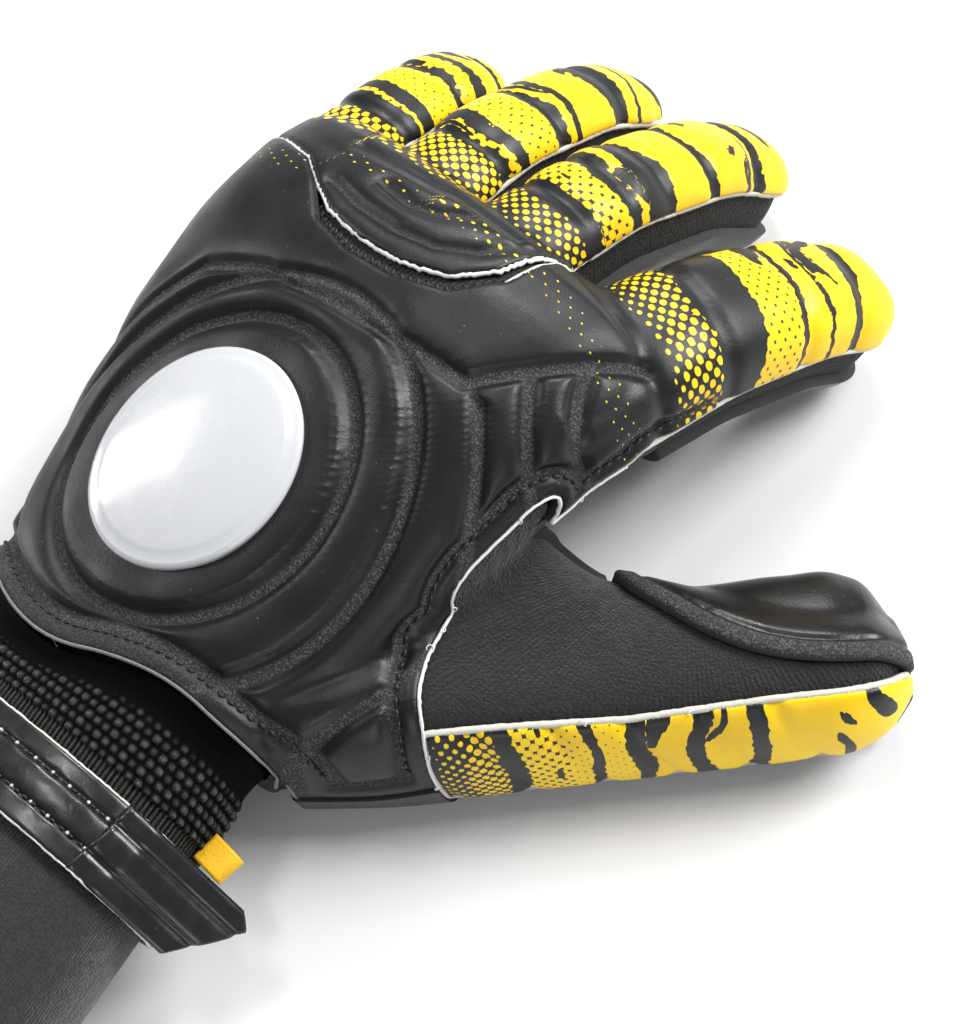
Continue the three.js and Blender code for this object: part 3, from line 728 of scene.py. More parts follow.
def distance_to(points, targets):
    """Distance from each point to the nearest of the targets."""
    tree = KDTree(len(targets))
    for i, p in enumerate(targets):
        tree.insert(p, i)
    tree.balance()
    return np.array([tree.find(p)[2] for p in points])


# Fields of the hand, for arrays of points


def line_distance(points, line):
    """Distance in plan to a line, and the distance along it of the nearest place."""
    best = np.full(len(points), np.inf)
    place = np.zeros(len(points))
    run = 0.0
    for (ax, ay), (bx, by) in zip(line, line[1:]):
        length = math.hypot(bx - ax, by - ay)
        t = ((points[:, 0] - ax) * (bx - ax) + (points[:, 1] - ay) * (by - ay)) / length**2
        t = t.clip(0, 1)
        d = np.hypot(points[:, 0] - ax - t * (bx - ax), points[:, 1] - ay - t * (by - ay))
        nearer = d < best
        best = np.where(nearer, d, best)
        place = np.where(nearer, run + t * length, place)
        run += length
    return best, place


def plan_field(points, line, corners):
    """Distance in plan to a line, positive inside the outline that the corners close."""
    outline = list(line) + list(corners)
    inside = np.zeros(len(points), bool)
    x, y = points[:, 0], points[:, 1]
    for (ax, ay), (bx, by) in zip(outline, outline[1:] + outline[:1]):
        if ay == by:
            continue
        crosses = (ay > y) != (by > y)
        inside ^= crosses & (x < (bx - ax) * (y - ay) / (by - ay) + ax)
    distance = line_distance(points, line)[0]
    return np.where(inside, distance, -distance)


def finger_place(points, finger):
    """Distance along a finger, across it and above its axis."""
    (centers, side, up, forward), s = finger_axis(finger, 2.0)
    nearest = np.zeros(len(points), int)
    best = np.full(len(points), np.inf)
    for i, center in enumerate(centers):
        d = ((points - center) ** 2).sum(1)
        nearest = np.where(d < best, i, nearest)
        best = np.minimum(best, d)
    offset = points - centers[nearest]
    ahead = np.einsum("ij,ij->i", offset, forward[nearest])
    across = np.einsum("ij,ij->i", offset, side[nearest])
    height = np.einsum("ij,ij->i", offset, up[nearest])
    return s[nearest] + ahead, across, height


def finger_shares(points):
    """How much each finger owns a point: its plan sector with soft edges."""
    sides = []
    for line in SECTOR_LINES:
        field = plan_field(points, line, [(200, 240), (200, 90)])
        sides.append(smoothstep(-1.5, 1.5, field))
    right, middle, left = sides
    return {
        "index": right,
        "middle": middle * (1 - right),
        "ring": left * (1 - middle) * (1 - right),
        "little": (1 - left) * (1 - middle) * (1 - right),
    }


def seam_height(points):
    rows = smooth_rows(TRUNK_SEAM, points[:, 1].clip(-100, 101), [1, 2])
    t = (points[:, 0] + SEAM_SPAN) / (2 * SEAM_SPAN)
    return rows[:, 0] + (rows[:, 1] - rows[:, 0]) * t


def thumb_place(points):
    """Distance along the thumb, angle round it and distance from its axis."""
    centers, side, up, forward = thumb_frames([0.0])
    offset = points - centers[0]
    along = offset @ forward[0]
    across = offset @ side[0]
    height = offset @ up[0]
    angle = np.degrees(np.arctan2(height, -across)) % 360
    angle = np.where(angle > 305, angle - 360, angle)
    return along, angle, np.hypot(across, height)


class Fields:
    """Every field of the hand at the points of one surface."""

    def __init__(self, points):
        self.points = points
        self.shares = finger_shares(points)
        self.place = {name: finger_place(points, FINGERS[name]) for name in NAMES}
        self.along, self.angle, self.radius = thumb_place(points)
        self.trunk_side = plan_field(points, THUMB_LINE, [(-150, 240), (-150, -90)])
        self.hand_side = plan_field(points, WRIST_LINE, [(150, 240), (-150, 240)])
        self.knuckle_side = plan_field(points, KNUCKLE_LINE, [(-120, 240)])

    def finger_mix(self, pick):
        return sum(self.shares[name] * pick(name) for name in NAMES)

    def above(self, key):
        """Height above a pad's edge: the trunk's seam first, then the finger's own edge."""

        def finger_edge(name):
            s, _, height = self.place[name]
            first, last = FINGERS[name][key]
            share = (s / sum(FINGERS[name]["bones"])).clip(0, 1)
            return height - first - (last - first) * share

        z = self.points[:, 2] - seam_height(self.points)
        fingers = smoothstep(FINGER_START - 5, FINGER_START + 3, self.points[:, 1])
        return z * (1 - fingers) + self.finger_mix(finger_edge) * fingers

    def thumb_edge(self, column):
        """Distance round the thumb past one of its seams."""
        table = np.array(THUMB_SEAMS, float)
        edge = np.interp(self.along, table[:, 0], table[:, column])
        return np.radians(self.angle - edge) * self.radius

    def finger_coordinates(self):
        """Distance along the nearest finger and round it, from its top line."""
        s = self.finger_mix(lambda name: self.place[name][0])
        around = self.finger_mix(
            lambda name: np.arctan2(self.place[name][1], self.place[name][2] + 4) * 15
        )
        return s, around


def cut(surface, *tests):
    """Clips a surface by one field after another; each test maps Fields to a value."""
    for test in tests:
        surface = clip(surface, test(Fields(surface[0])))
    return main_part(surface)


# Turning a cut surface into a finished piece


def thick_piece(name, surface, offset, wall, materials, maps=None, marks=None):
    """A wall from a cut surface: its outer face moved along the normals by an offset, its
    inner face a wall's thickness below, and a rim in the second material."""
    points, normals, tris = surface
    count = len(points)
    outer = points + normals * np.broadcast_to(offset, count)[:, None]
    inner = points - normals * wall
    rim = border_edges(tris)
    quads = np.stack([rim[:, 1], rim[:, 0], rim[:, 0] + count, rim[:, 1] + count], 1)
    faces = np.vstack([tris, tris[:, ::-1] + count]).tolist() + quads.tolist()
    piece = new_object(name, np.vstack([pressed(outer), pressed(inner, wall)]), faces)
    mesh = piece.data
    for material in materials:
        mesh.materials.append(material)
    index = np.zeros(len(faces), np.int32)
    index[2 * len(tris) :] = min(1, len(materials) - 1)
    index[len(tris) : 2 * len(tris)] = len(materials) - 1
    mesh.polygons.foreach_set("material_index", index)
    mesh.polygons.foreach_set("use_smooth", np.ones(len(faces), bool))
    corner = read(mesh.loops, "vertex_index", 1, np.int32)
    for key, (u, v) in (maps or {}).items():
        layer = mesh.uv_layers.new(name=key)
        both = np.tile(np.stack([u, v], 1), (2, 1))
        layer.data.foreach_set("uv", both[corner].astype(np.float32).ravel())
    for key, value in (marks or {}).items():
        add_mark(mesh, key, np.tile(value, 2).astype(np.float32))
    mark_sharp_rim(mesh, count)
    return piece


def thin_inside(piece, count, keep):
    """Keeps only a share of a wall's hidden inner faces."""
    group = piece.vertex_groups.new(name="inside")
    group.add(range(count, 2 * count), 1.0, "REPLACE")
    modifier = piece.modifiers.new("fewer faces inside", "DECIMATE")
    modifier.vertex_group = "inside"
    modifier.ratio = (1 + keep) / 2
    modifier.use_collapse_triangulate = True
    apply_modifiers(piece)
    piece.vertex_groups.clear()


def smooth_outside(piece, edge):
    """Evens out a wall's outer face, away from its rim."""
    group = piece.vertex_groups.new(name="outside")
    group.add(np.flatnonzero(edge > RIM_KEPT).tolist(), 1.0, "REPLACE")
    modifier = piece.modifiers.new("even face", "SMOOTH")
    modifier.vertex_group = "outside"
    modifier.factor = 0.5
    modifier.iterations = FACE_ROUNDS
    apply_modifiers(piece)
    piece.vertex_groups.clear()


def mark_sharp_rim(mesh, count):
    """Keeps the rim's two edges crisp under smooth shading."""
    ends = read(mesh.edges, "vertices", 2, np.int32)
    rim_points = np.zeros(len(mesh.vertices), bool)
    crossing = (ends[:, 0] < count) != (ends[:, 1] < count)
    rim_points[ends[crossing].ravel()] = True
    same = (ends[:, 0] < count) == (ends[:, 1] < count)
    sharp = same & rim_points[ends[:, 0]] & rim_points[ends[:, 1]]
    add_mark(mesh, "sharp_edge", sharp, "BOOLEAN", "EDGE")


def rounded_edge(distance, drop, reach):
    """How far a padded face sinks near its border."""
    t = (1 - distance / reach).clip(0, 1)
    return -drop * (1 - np.sqrt(1 - t**2))


def groove(distance, depth, half):
    """A rounded groove: deepest at distance 0."""
    return -depth * np.exp(-((distance / half) ** 2))


def even_runs(surface, runs, least):
    """The runs of more than a least number of points, as lines at even steps."""
    points, normals, _ = surface
    return [
        (*even_line(points[run], normals[run], closed, LINE_STEP), closed)
        for run, closed in runs
        if len(run) > least
    ]


def contour(surface, value, keep):
    """Lines on a surface where a value crosses zero, at even steps."""
    tagged = clip(surface, value)
    fresh = distance_to(tagged[0], surface[0]) > 1e-6
    return even_runs(tagged, border_runs(tagged, fresh & keep(tagged[0])), 6)


def edge_lines(surface, keep=None):
    """A surface's borders as even lines, where keep holds."""
    mask = None if keep is None else keep(surface[0])
    return even_runs(surface, border_runs(surface, mask), 5)


def raised(lines, lift_at):
    """Lines moved along their normals."""
    return [
        (p + n * np.broadcast_to(lift_at(p), len(p))[:, None], n, t, closed)
        for p, n, t, closed in lines
    ]


def border_distance(surface):
    points, _, tris = surface
    rim = np.unique(border_edges(tris))
    return distance_to(points, points[rim])


# The hand's fine form, and the panels cut from it

fine = hand_form(FINE_CELL, 5)
coarse = hand_form(COARSE_CELL, 4)
HALF = SEAM_GAP / 2
CHANNEL_TABLE = [0.15, 1.5, 1.9, 1.9, 1.9, 1.8, 1.3, 0.15]


def channel_half(points):
    """Half width of the channel beside the knuckle line, at each point's nearest place."""
    ends = np.cumsum([0.0] + [math.dist(a, b) for a, b in zip(KNUCKLE_LINE, KNUCKLE_LINE[1:])])
    place = line_distance(points, KNUCKLE_LINE)[1]
    return np.interp(place, ends[4:12], CHANNEL_TABLE)


def between_fingers(f, toward, away):
    """Positive between the middle lines of two neighbours; None stands for the hand's side."""
    low = f.place[toward][1] if toward else np.full(len(f.points), -99.0)
    high = f.place[away][1] if away else np.full(len(f.points), 99.0)
    return np.minimum(-low, high) - HALF


def under_thumb(f):
    return np.maximum(-f.thumb_edge(1), f.thumb_edge(4))


def latex_side(f):
    return plan_field(f.points, LATEX_LINE, [(140, 240), (0, 240)])


def thumb_latex(f):
    below = np.minimum(under_thumb(f), f.along - THUMB_PALM_START)
    return np.maximum(below, np.minimum(latex_side(f), -f.thumb_edge(2))) - HALF


def palm_field(f):
    trunk = np.minimum(f.trunk_side, -f.above("palm_edge"))
    thumb = np.minimum(np.minimum(under_thumb(f), THUMB_PALM_START - f.along), -f.trunk_side)
    return np.maximum(trunk, thumb)


def on_hand(f):
    return f.hand_side - HALF


def web_wall(f):
    """Positive on the wall between the back panel's edge and the web."""
    x, y, z = f.points.T
    edge = np.interp(y, *np.array(WALL_EDGE).T)
    ends = np.minimum(y - 38, 108 - y)
    return np.minimum.reduce([edge - z, z - 20, x - 50, ends, f.trunk_side + 8])


def web_field(f):
    sides = [-f.trunk_side, f.thumb_edge(1), -f.thumb_edge(2), -latex_side(f)]
    return np.maximum(web_wall(f), np.minimum.reduce(sides)) - HALF


back_surface = cut(
    fine,
    on_hand,
    lambda f: f.trunk_side - HALF,
    lambda f: -f.knuckle_side - channel_half(f.points),
    lambda f: f.above("pad_edge") - HALF,
    lambda f: -web_wall(f) - HALF,
)
knuckle_surface = cut(
    fine,
    lambda f: f.knuckle_side - channel_half(f.points),
    lambda f: f.above("pad_edge") - HALF,
)
palm_surface = cut(
    coarse, on_hand, lambda f: palm_field(f) - HALF, lambda f: -web_wall(f) - HALF
)
thumb_back_surface = cut(
    fine,
    on_hand,
    lambda f: -f.trunk_side - HALF,
    lambda f: f.thumb_edge(2) - HALF,
    lambda f: -f.thumb_edge(3) - HALF,
)
thumb_palm_surface = cut(
    fine, on_hand, lambda f: -f.trunk_side - HALF, thumb_latex, lambda f: 118 - f.thumb_edge(2)
)
web_surface = cut(coarse, on_hand, web_field)
thumb_strip_surface = cut(
    coarse,
    on_hand,
    lambda f: -f.trunk_side - HALF,
    lambda f: f.thumb_edge(3) - HALF,
    lambda f: -f.thumb_edge(4) - HALF,
)
channel_surface = cut(
    coarse,
    lambda f: channel_half(f.points) - 0.2 - abs(f.knuckle_side),
    lambda f: f.above("pad_edge") - HALF,
)
STRIPS = [
    ("index_side_strip", None, "index"),
    ("index_middle_strip", "index", "middle"),
    ("middle_ring_strip", "middle", "ring"),
    ("ring_little_strip", "ring", "little"),
    ("little_side_strip", "little", None),
]
strip_surfaces = {
    name: cut(
        coarse,
        lambda f: f.trunk_side - HALF,
        lambda f: -f.above("pad_edge") - HALF,
        lambda f: f.above("palm_edge") - HALF,
        lambda f, toward=toward, away=away: between_fingers(f, toward, away),
        lambda f: -web_wall(f) - HALF,
    )
    for name, toward, away in STRIPS
}


# Shader nodes


def feed(tree, socket, value):
    """Links a socket to another one, or gives it a plain value."""
    if isinstance(value, bpy.types.NodeSocket):
        tree.links.new(value, socket)
    else:
        socket.default_value = value


class Tree:
    """Adds nodes to a material's or a group's tree; inputs are sockets or plain values."""

    def __init__(self, tree):
        self.tree = tree

    def add(self, kind, inputs=None, **settings):
        made = self.tree.nodes.new("ShaderNode" + kind)
        for key, value in settings.items():
            setattr(made, key, value)
        for key, value in (inputs or {}).items():
            feed(self.tree, made.inputs[key], value)
        return made

    def math(self, operation, *values, clamp=False):
        inputs = dict(enumerate(values))
        return self.add("Math", inputs, operation=operation, use_clamp=clamp).outputs[0]

    def ramp(self, value, low, high, start=0.0, end=1.0):
        """Maps a value from low..high to start..end, smoothly and clamped."""
        names = {"Value": value, "From Min": low, "From Max": high, "To Min": start, "To Max": end}
        return self.add("MapRange", names, interpolation_type="SMOOTHSTEP").outputs[0]

    def mix(self, share, first, second):
        node = self.add("Mix", data_type="RGBA")
        for index, value in ((0, share), (6, first), (7, second)):
            feed(self.tree, node.inputs[index], value)
        return node.outputs[2]

    def noise(self, place, scale, detail=3.0, distortion=0.0):
        names = {"Vector": place, "Scale": scale, "Detail": detail, "Distortion": distortion}
        return self.add("TexNoise", names).outputs[0]

    def uv(self, name):
        return self.add("UVMap", uv_map=name).outputs[0]

    def mark(self, name):
        return self.add("Attribute", attribute_name=name).outputs["Fac"]

    def place(self):
        return self.add("TexCoord").outputs["Object"]

    def group(self, made, **inputs):
        node = self.add("Group")
        node.node_tree = made
        for key, value in inputs.items():
            feed(self.tree, node.inputs[key], value)
        return node.outputs


def node_group(name, inputs, outputs):
    """A new group with its tree helper, its input sockets and its output node."""
    made = bpy.data.node_groups.new(name, "ShaderNodeTree")
    for key, kind in inputs.items():
        made.interface.new_socket(key, in_out="INPUT", socket_type="NodeSocket" + kind)
    for key, kind in outputs.items():
        made.interface.new_socket(key, in_out="OUTPUT", socket_type="NodeSocket" + kind)
    given = made.nodes.new("NodeGroupInput")
    result = made.nodes.new("NodeGroupOutput")
    return made, Tree(made), given.outputs, result


def give(tree, result, **values):
    for key, value in values.items():
        tree.tree.links.new(value, result.inputs[key])


def make_grain():
    """Fine pores and soft creases of foam latex, as a height from -1 to 1."""
    inputs = {"Place": "Vector", "Pores": "Float", "Creases": "Float"}
    made, t, given, result = node_group("latex grain", inputs, {"Height": "Float"})
    pores = t.noise(given["Place"], 1900, 4)
    wrinkles = t.noise(given["Place"], 45, 3, 1.2)
    swells = t.noise(given["Place"], 130, 3)
    fine = t.math("MULTIPLY", t.math("SUBTRACT", pores, 0.5), given["Pores"])
    crease = t.math("ABSOLUTE", t.math("SUBTRACT", wrinkles, 0.5))
    crease = t.ramp(crease, 0.0, 0.02, -1.0, 0.0)
    patches = t.ramp(t.noise(given["Place"], 38, 2), 0.5, 0.66)
    crease = t.math("MULTIPLY", crease, patches)
    soft = t.math("ADD", crease, t.math("MULTIPLY", swells, 2.0))
    deep = t.math("MULTIPLY", soft, given["Creases"])
    give(t, result, Height=t.math("ADD", fine, deep))
    return made


def make_halftone():
    """Staggered round dots that grow with Tone until they merge and leave small gaps."""
    made, t, given, result = node_group(
        "halftone", {"Map": "Vector", "Pitch": "Float", "Tone": "Float"}, {"Mask": "Float"}
    )
    place = t.add("SeparateXYZ", {0: given["Map"]}).outputs
    cells = [t.math("DIVIDE", place[k], given["Pitch"]) for k in (0, 1)]
    nearest = None
    for shift in (0.0, 0.5):
        parts = []
        for cell in cells:
            saw = t.math("FRACT", t.math("ADD", cell, shift))
            parts.append(t.math("POWER", t.math("ABSOLUTE", t.math("SUBTRACT", saw, 0.5)), 2.2))
        away = t.math("POWER", t.math("ADD", parts[0], parts[1]), 0.4545)
        nearest = away if nearest is None else t.math("MINIMUM", nearest, away)
    size = t.math("MULTIPLY", given["Tone"], 0.5)
    give(t, result, Mask=t.ramp(t.math("SUBTRACT", size, nearest), 0.0, 0.05))
    return made


def make_torn():
    """A torn place along a finger, for bands with torn edges and forks, and tongues for islands.
    How full the yellow is comes from a table along the finger, read at this place."""
    made, t, given, result = node_group(
        "torn place", {"Map": "Vector", "Seed": "Float"}, {"Place": "Float", "Tongues": "Float"}
    )
    place = t.add("SeparateXYZ", {0: given["Map"]}).outputs
    slow_place = t.add("CombineXYZ", {0: place[0], 1: place[1], 2: given["Seed"]}).outputs[0]
    slow = t.math("SUBTRACT", t.noise(slow_place, 0.07, 0), 0.5)
    rough = t.math("SUBTRACT", t.noise(slow_place, 0.3, 2), 0.5)
    along = t.math("MULTIPLY_ADD", slow, 6.5, place[1])
    along = t.math("MULTIPLY_ADD", rough, 1.3, along)
    across = t.math("MULTIPLY", place[0], 0.3)
    stretched = t.add("CombineXYZ", {0: across, 1: along, 2: given["Seed"]}).outputs[0]
    tongues = t.ramp(t.noise(stretched, 0.17, 1, 0.3), 0.66, 0.67)
    give(t, result, Place=along, Tongues=tongues)
    return made


def make_dust():
    """Sparse pale specks."""
    made, t, given, result = node_group(
        "dust", {"Place": "Vector", "Amount": "Float"}, {"Mask": "Float"}
    )
    cells = t.add("TexVoronoi", {"Vector": given["Place"], "Scale": 420.0}).outputs
    speck = t.ramp(cells["Distance"], 0.05, 0.12, 1.0, 0.0)
    chosen = t.ramp(t.noise(given["Place"], 90, 2), 0.52, 0.7)
    mask = t.math("MULTIPLY", t.math("MULTIPLY", speck, chosen), given["Amount"])
    give(t, result, Mask=mask)
    return made


def make_weave():
    """Ribs and loops of knitted cloth over a map in millimetres, as a height from 0 to 1."""
    made, t, given, result = node_group(
        "knit", {"Map": "Vector", "Rib": "Float", "Loop": "Float"}, {"Height": "Float"}
    )
    place = t.add("SeparateXYZ", {0: given["Map"]}).outputs
    rib = t.math("SINE", t.math("DIVIDE", t.math("MULTIPLY", place[0], math.pi), given["Rib"]))
    rib = t.math("ABSOLUTE", rib)
    slant = t.math("MULTIPLY_ADD", rib, 0.5, t.math("DIVIDE", place[1], given["Loop"]))
    loop = t.math("ABSOLUTE", t.math("SINE", t.math("MULTIPLY", slant, math.pi)))
    give(t, result, Height=t.math("MULTIPLY", rib, t.math("MULTIPLY_ADD", loop, 0.5, 0.5)))
    return made


GRAIN = make_grain()
HALFTONE = make_halftone()
TORN = make_torn()
DUST = make_dust()
WEAVE = make_weave()

BLACK = (0.0085, 0.0088, 0.0095, 1)
YELLOW = (0.93, 0.64, 0.003, 1)
DEEP_YELLOW = (0.88, 0.55, 0.002, 1)
DUSTY = (0.32, 0.31, 0.3, 1)


def new_material(name):
    made = bpy.data.materials.new(name)
    made.use_nodes = True
    shader = made.node_tree.nodes["Principled BSDF"]
    return made, Tree(made.node_tree), shader


def bump(t, shader, height, strength=1.0, distance=0.001):
    names = {"Height": height, "Strength": strength, "Distance": distance}
    t.tree.links.new(t.add("Bump", names).outputs[0], shader.inputs["Normal"])


def link(t, shader, **values):
    for key, value in values.items():
        feed(t.tree, shader.inputs[key.replace("_", " ")], value)


def tone_curve(t, place, tones):
    """How full the yellow is at a place along a finger, from a table of steps."""
    steps = t.add("ValToRGB")
    ramp = steps.color_ramp
    ramp.interpolation = "LINEAR"
    places = []
    for (start, tone), (end, _) in zip(tones, tones[1:] + [(TONE_SPAN, 0)]):
        places += [(start + 0.15, tone), (end - 0.15, tone)]
    while len(ramp.elements) < len(places):
        ramp.elements.new(1.0)
    for element, (at, tone) in zip(ramp.elements, places):
        element.position = min(1.0, at / TONE_SPAN)
        element.color = (tone / 2, tone / 2, tone / 2, 1)
    share = t.math("DIVIDE", place, TONE_SPAN)
    t.tree.links.new(share, steps.inputs[0])
    return t.math("MULTIPLY", steps.outputs[0], 2.0)


def tone_steps(t, place, tones):
    """The same table, read in two halves because a ramp holds few steps."""
    middle = len(tones) // 2
    split = tones[middle][0]
    low = tone_curve(t, place, tones[:middle] + [(split, 0)])
    high = tone_curve(t, place, [(0, 0)] + tones[middle:])
    first = t.math("MULTIPLY", low, t.math("LESS_THAN", place, split))
    return t.math("ADD", first, t.math("MULTIPLY", high, t.math("GREATER_THAN", place, split)))


def pad_material(name, tones):
    """Satin foam latex, black or with yellow dots and torn bands from a table of tones."""
    made, t, shader = new_material(name)
    place = t.place()
    color = BLACK
    if tones:
        uv = t.uv("finger")
        seed = t.mark("seed")
        torn = t.group(TORN, Map=uv, Seed=seed)
        tone = tone_steps(t, torn["Place"], tones)
        full = t.math("GREATER_THAN", tone, 0.7)
        tongues = t.math("MULTIPLY", torn["Tongues"], full)
        tone = t.math("MULTIPLY", tone, t.math("SUBTRACT", 1.0, tongues))
        yellow = t.group(HALFTONE, Map=uv, Pitch=2.9, Tone=tone)["Mask"]
        shade = t.mix(t.ramp(t.noise(place, 60, 2), 0.3, 0.7), YELLOW, DEEP_YELLOW)
        color = t.mix(yellow, BLACK, shade)
    dust = t.group(DUST, Place=place, Amount=0.35)["Mask"]
    color = t.mix(dust, color, DUSTY)
    floor = t.mark("floor")
    fuzz = t.ramp(t.noise(place, 2100, 3), 0.4, 0.75)
    rough_color = t.mix(fuzz, (0.02, 0.02, 0.021, 1), (0.12, 0.12, 0.122, 1))
    color = t.mix(floor, color, rough_color)
    gloss = 0.36 if tones else 0.24
    satin = t.ramp(t.noise(place, 90, 3), 0.3, 0.7, gloss, gloss + 0.13)
    rough = t.math("MULTIPLY_ADD", floor, 0.45, satin)
    link(t, shader, Base_Color=color, Roughness=rough)
    link(t, shader, IOR=1.47, Specular_IOR_Level=0.42)
    height = t.group(GRAIN, Place=place, Pores=0.35, Creases=0.12)["Height"]
    height = t.math("MULTIPLY_ADD", t.math("MULTIPLY", fuzz, floor), 1.6, height)
    bump(t, shader, height, 0.5, 0.0003)
    return made


def foam_edge_material(name, color):
    made, t, shader = new_material(name)
    place = t.place()
    cells = t.add("TexVoronoi", {"Vector": place, "Scale": 1500.0}).outputs["Distance"]
    shade = t.ramp(t.noise(place, 700, 3), 0.3, 0.7, 0.75, 1.0)
    dark = tuple(c * 0.6 for c in color[:3]) + (1,)
    link(t, shader, Base_Color=t.mix(shade, dark, color), Roughness=0.9, IOR=1.45)
    bump(t, shader, cells, 0.35, 0.0002)
    return made


def cloth_material(name, color, rib, loop, height=0.0003, sheen=0.25, rough=0.85):
    """Fine knitted cloth: faint ribs under a random grain of loops."""
    made, t, shader = new_material(name)
    uv = t.uv("cloth")
    knit = t.group(WEAVE, Map=uv, Rib=rib, Loop=loop)["Height"]
    grain = t.noise(t.place(), 1500, 3)
    loops = t.ramp(grain, 0.38, 0.62)
    rows = t.math("MULTIPLY", knit, t.ramp(t.noise(t.place(), 420, 2), 0.35, 0.65, 0.25, 0.8))
    relief = t.math("MULTIPLY_ADD", loops, 0.55, rows)
    # The colour follows the relief: painted shade in its low parts, a painted highlight on the
    # raised loops and ribs
    dark = tuple(c * 0.45 for c in color[:3]) + (1,)
    light = tuple(c * 1.25 for c in color[:3]) + (1,)
    link(t, shader, Base_Color=t.mix(t.ramp(relief, 0.1, 1.1), dark, light), Roughness=rough)
    link(t, shader, Sheen_Weight=sheen, Sheen_Roughness=0.5)
    bump(t, shader, relief, 0.8, height)
    return made


def knit_material():
    """Glossy yarn: nearly black painted shade between the bumps, a painted highlight on top."""
    made, t, shader = new_material("knit band painted light")
    yarn = t.group(WEAVE, Map=t.uv("cloth"), Rib=0.45, Loop=0.5)["Height"]
    fuzz = t.noise(t.place(), 2200, 2)
    strand = t.math("MULTIPLY", yarn, t.ramp(fuzz, 0.35, 0.65, 0.2, 1.0))
    top = t.ramp(t.mark("top"), 0.12, 0.95)
    shade = t.math("MULTIPLY", top, t.math("MULTIPLY_ADD", strand, 0.8, 0.2))
    # Painted light: nearly black shade between the bumps, a lighter highlight on their tops
    link(t, shader, Base_Color=t.mix(shade, (0.0012, 0.0012, 0.0012, 1), (0.07, 0.07, 0.067, 1)))
    link(t, shader, Roughness=t.ramp(top, 0.0, 1.0, 0.8, 0.4))
    link(t, shader, Specular_IOR_Level=t.ramp(top, 0.0, 1.0, 0.08, 0.55))
    bump(t, shader, strand, 0.8, 0.0003)
    return made


def plain_material(name, color, roughness, coat=0.0, pores=0.03, creases=0.02):
    made, t, shader = new_material(name)
    place = t.place()
    rough = t.ramp(t.noise(place, 240, 3), 0.3, 0.7, roughness - 0.05, roughness + 0.08)
    dust = t.group(DUST, Place=place, Amount=0.3)["Mask"]
    link(t, shader, Base_Color=t.mix(dust, color, DUSTY), Roughness=rough)
    link(t, shader, Coat_Weight=coat, Coat_Roughness=0.12)
    height = t.group(GRAIN, Place=place, Pores=pores, Creases=creases)["Height"]
    bump(t, shader, height, 0.5, 0.0003)
    return made


finger_skins = {name: pad_material(name + " pad", FINGER_TONES[name]) for name in NAMES}
pad_thumb = pad_material("thumb pad", THUMB_TONES)
cream_edge = foam_edge_material("cream foam edge", (0.66, 0.64, 0.56, 1))
grey_edge = foam_edge_material("grey foam edge", (0.05, 0.05, 0.052, 1))
dark_edge = foam_edge_material("dark foam edge", (0.055, 0.053, 0.05, 1))
pale_edge = foam_edge_material("pale foam edge", (0.22, 0.22, 0.22, 1))
raw_edge = foam_edge_material("raw strap edge", (0.3, 0.27, 0.2, 1))
lining = plain_material("lining", (0.03, 0.03, 0.03, 1), 0.9)
latex = pad_material("palm latex", None)
stretch = cloth_material("stretch fabric", (0.013, 0.011, 0.0105, 1), 1.15, 1.0, 0.0005, 0.2)
side_cloth = cloth_material("side mesh", (0.0075, 0.007, 0.007, 1), 1.3, 1.1, 0.0004, 0.06)
jersey = cloth_material("jersey", (0.016, 0.016, 0.017, 1), 0.8, 0.8)
knit_cloth = knit_material()
strap_skin = plain_material("strap", (0.009, 0.009, 0.01, 1), 0.3, 0.15, 0.2, 0.08)
badge_skin = plain_material("badge", (0.62, 0.63, 0.64, 1), 0.22, 0.4, 0.0, 0.02)
tab_cloth = plain_material("tab webbing", (0.8, 0.45, 0.006, 1), 0.6, 0, 1.0, 0.1)
# Pale thread for the strap's rows: painted glints of their stitches
glint_thread = plain_material("painted glint thread", (0.62, 0.6, 0.54, 1), 0.7)
thread_dark = plain_material("dark thread", (0.012, 0.012, 0.012, 1), 0.45)
thread_white = plain_material("white thread", (0.8, 0.8, 0.78, 1), 0.7)


# Relief of the pads, in millimetres above the form


def ring_distance(points, ring):
    """Distance in plan outside one of the oval rings round the badge."""
    lean = math.radians(BADGE["lean"])
    x = points[:, 0] - BADGE["x"]
    y = points[:, 1] - BADGE["y"]
    u = (x * math.sin(lean) + y * math.cos(lean)) / ring[0]
    v = x * math.cos(lean) - y * math.sin(lean)
    across = np.where(v > 0, ring[1], ring[2])
    v = v / across
    q = np.hypot(u, v).clip(1e-3)
    slope = np.hypot(u / ring[0], v / across) / q
    return (q - 1) / slope.clip(1e-4)


def puffed(away, top, depth=GROOVE_DEPTH, reach=PAD_REACH):
    """Height of a pad whose nearest groove's middle is at a distance: a flat groove, a steep
    side and a face that stays rounded over its whole width."""
    out = (away - GROOVE_HALF).clip(0)
    side = smoothstep(0, GROOVE_ROUND, out)
    face = 1 - (1 - (out / reach).clip(0, 1)) ** 2
    return top - depth + depth * (0.55 * side + 0.45 * face)


def segments(s, places, depth, half):
    """Soft cross grooves between a finger's puffed segments."""
    relief = np.zeros(len(s))
    for place in places:
        relief = np.minimum(relief, groove(s - place, depth, half))
    return relief


def hem_inward(fields, edge):
    """Distance inside the wrist edge and the stitched edge beside the thumb, as shares of
    the hem's width there."""
    x, y = fields.points[:, 0], fields.points[:, 1]
    width = np.interp(y, *np.array(HEM_WIDTHS).T)
    radial = smoothstep(33, 42, x) * smoothstep(131, 121, y)
    return np.minimum(fields.hand_side / HEM, edge / width * radial + 9 * (1 - radial))


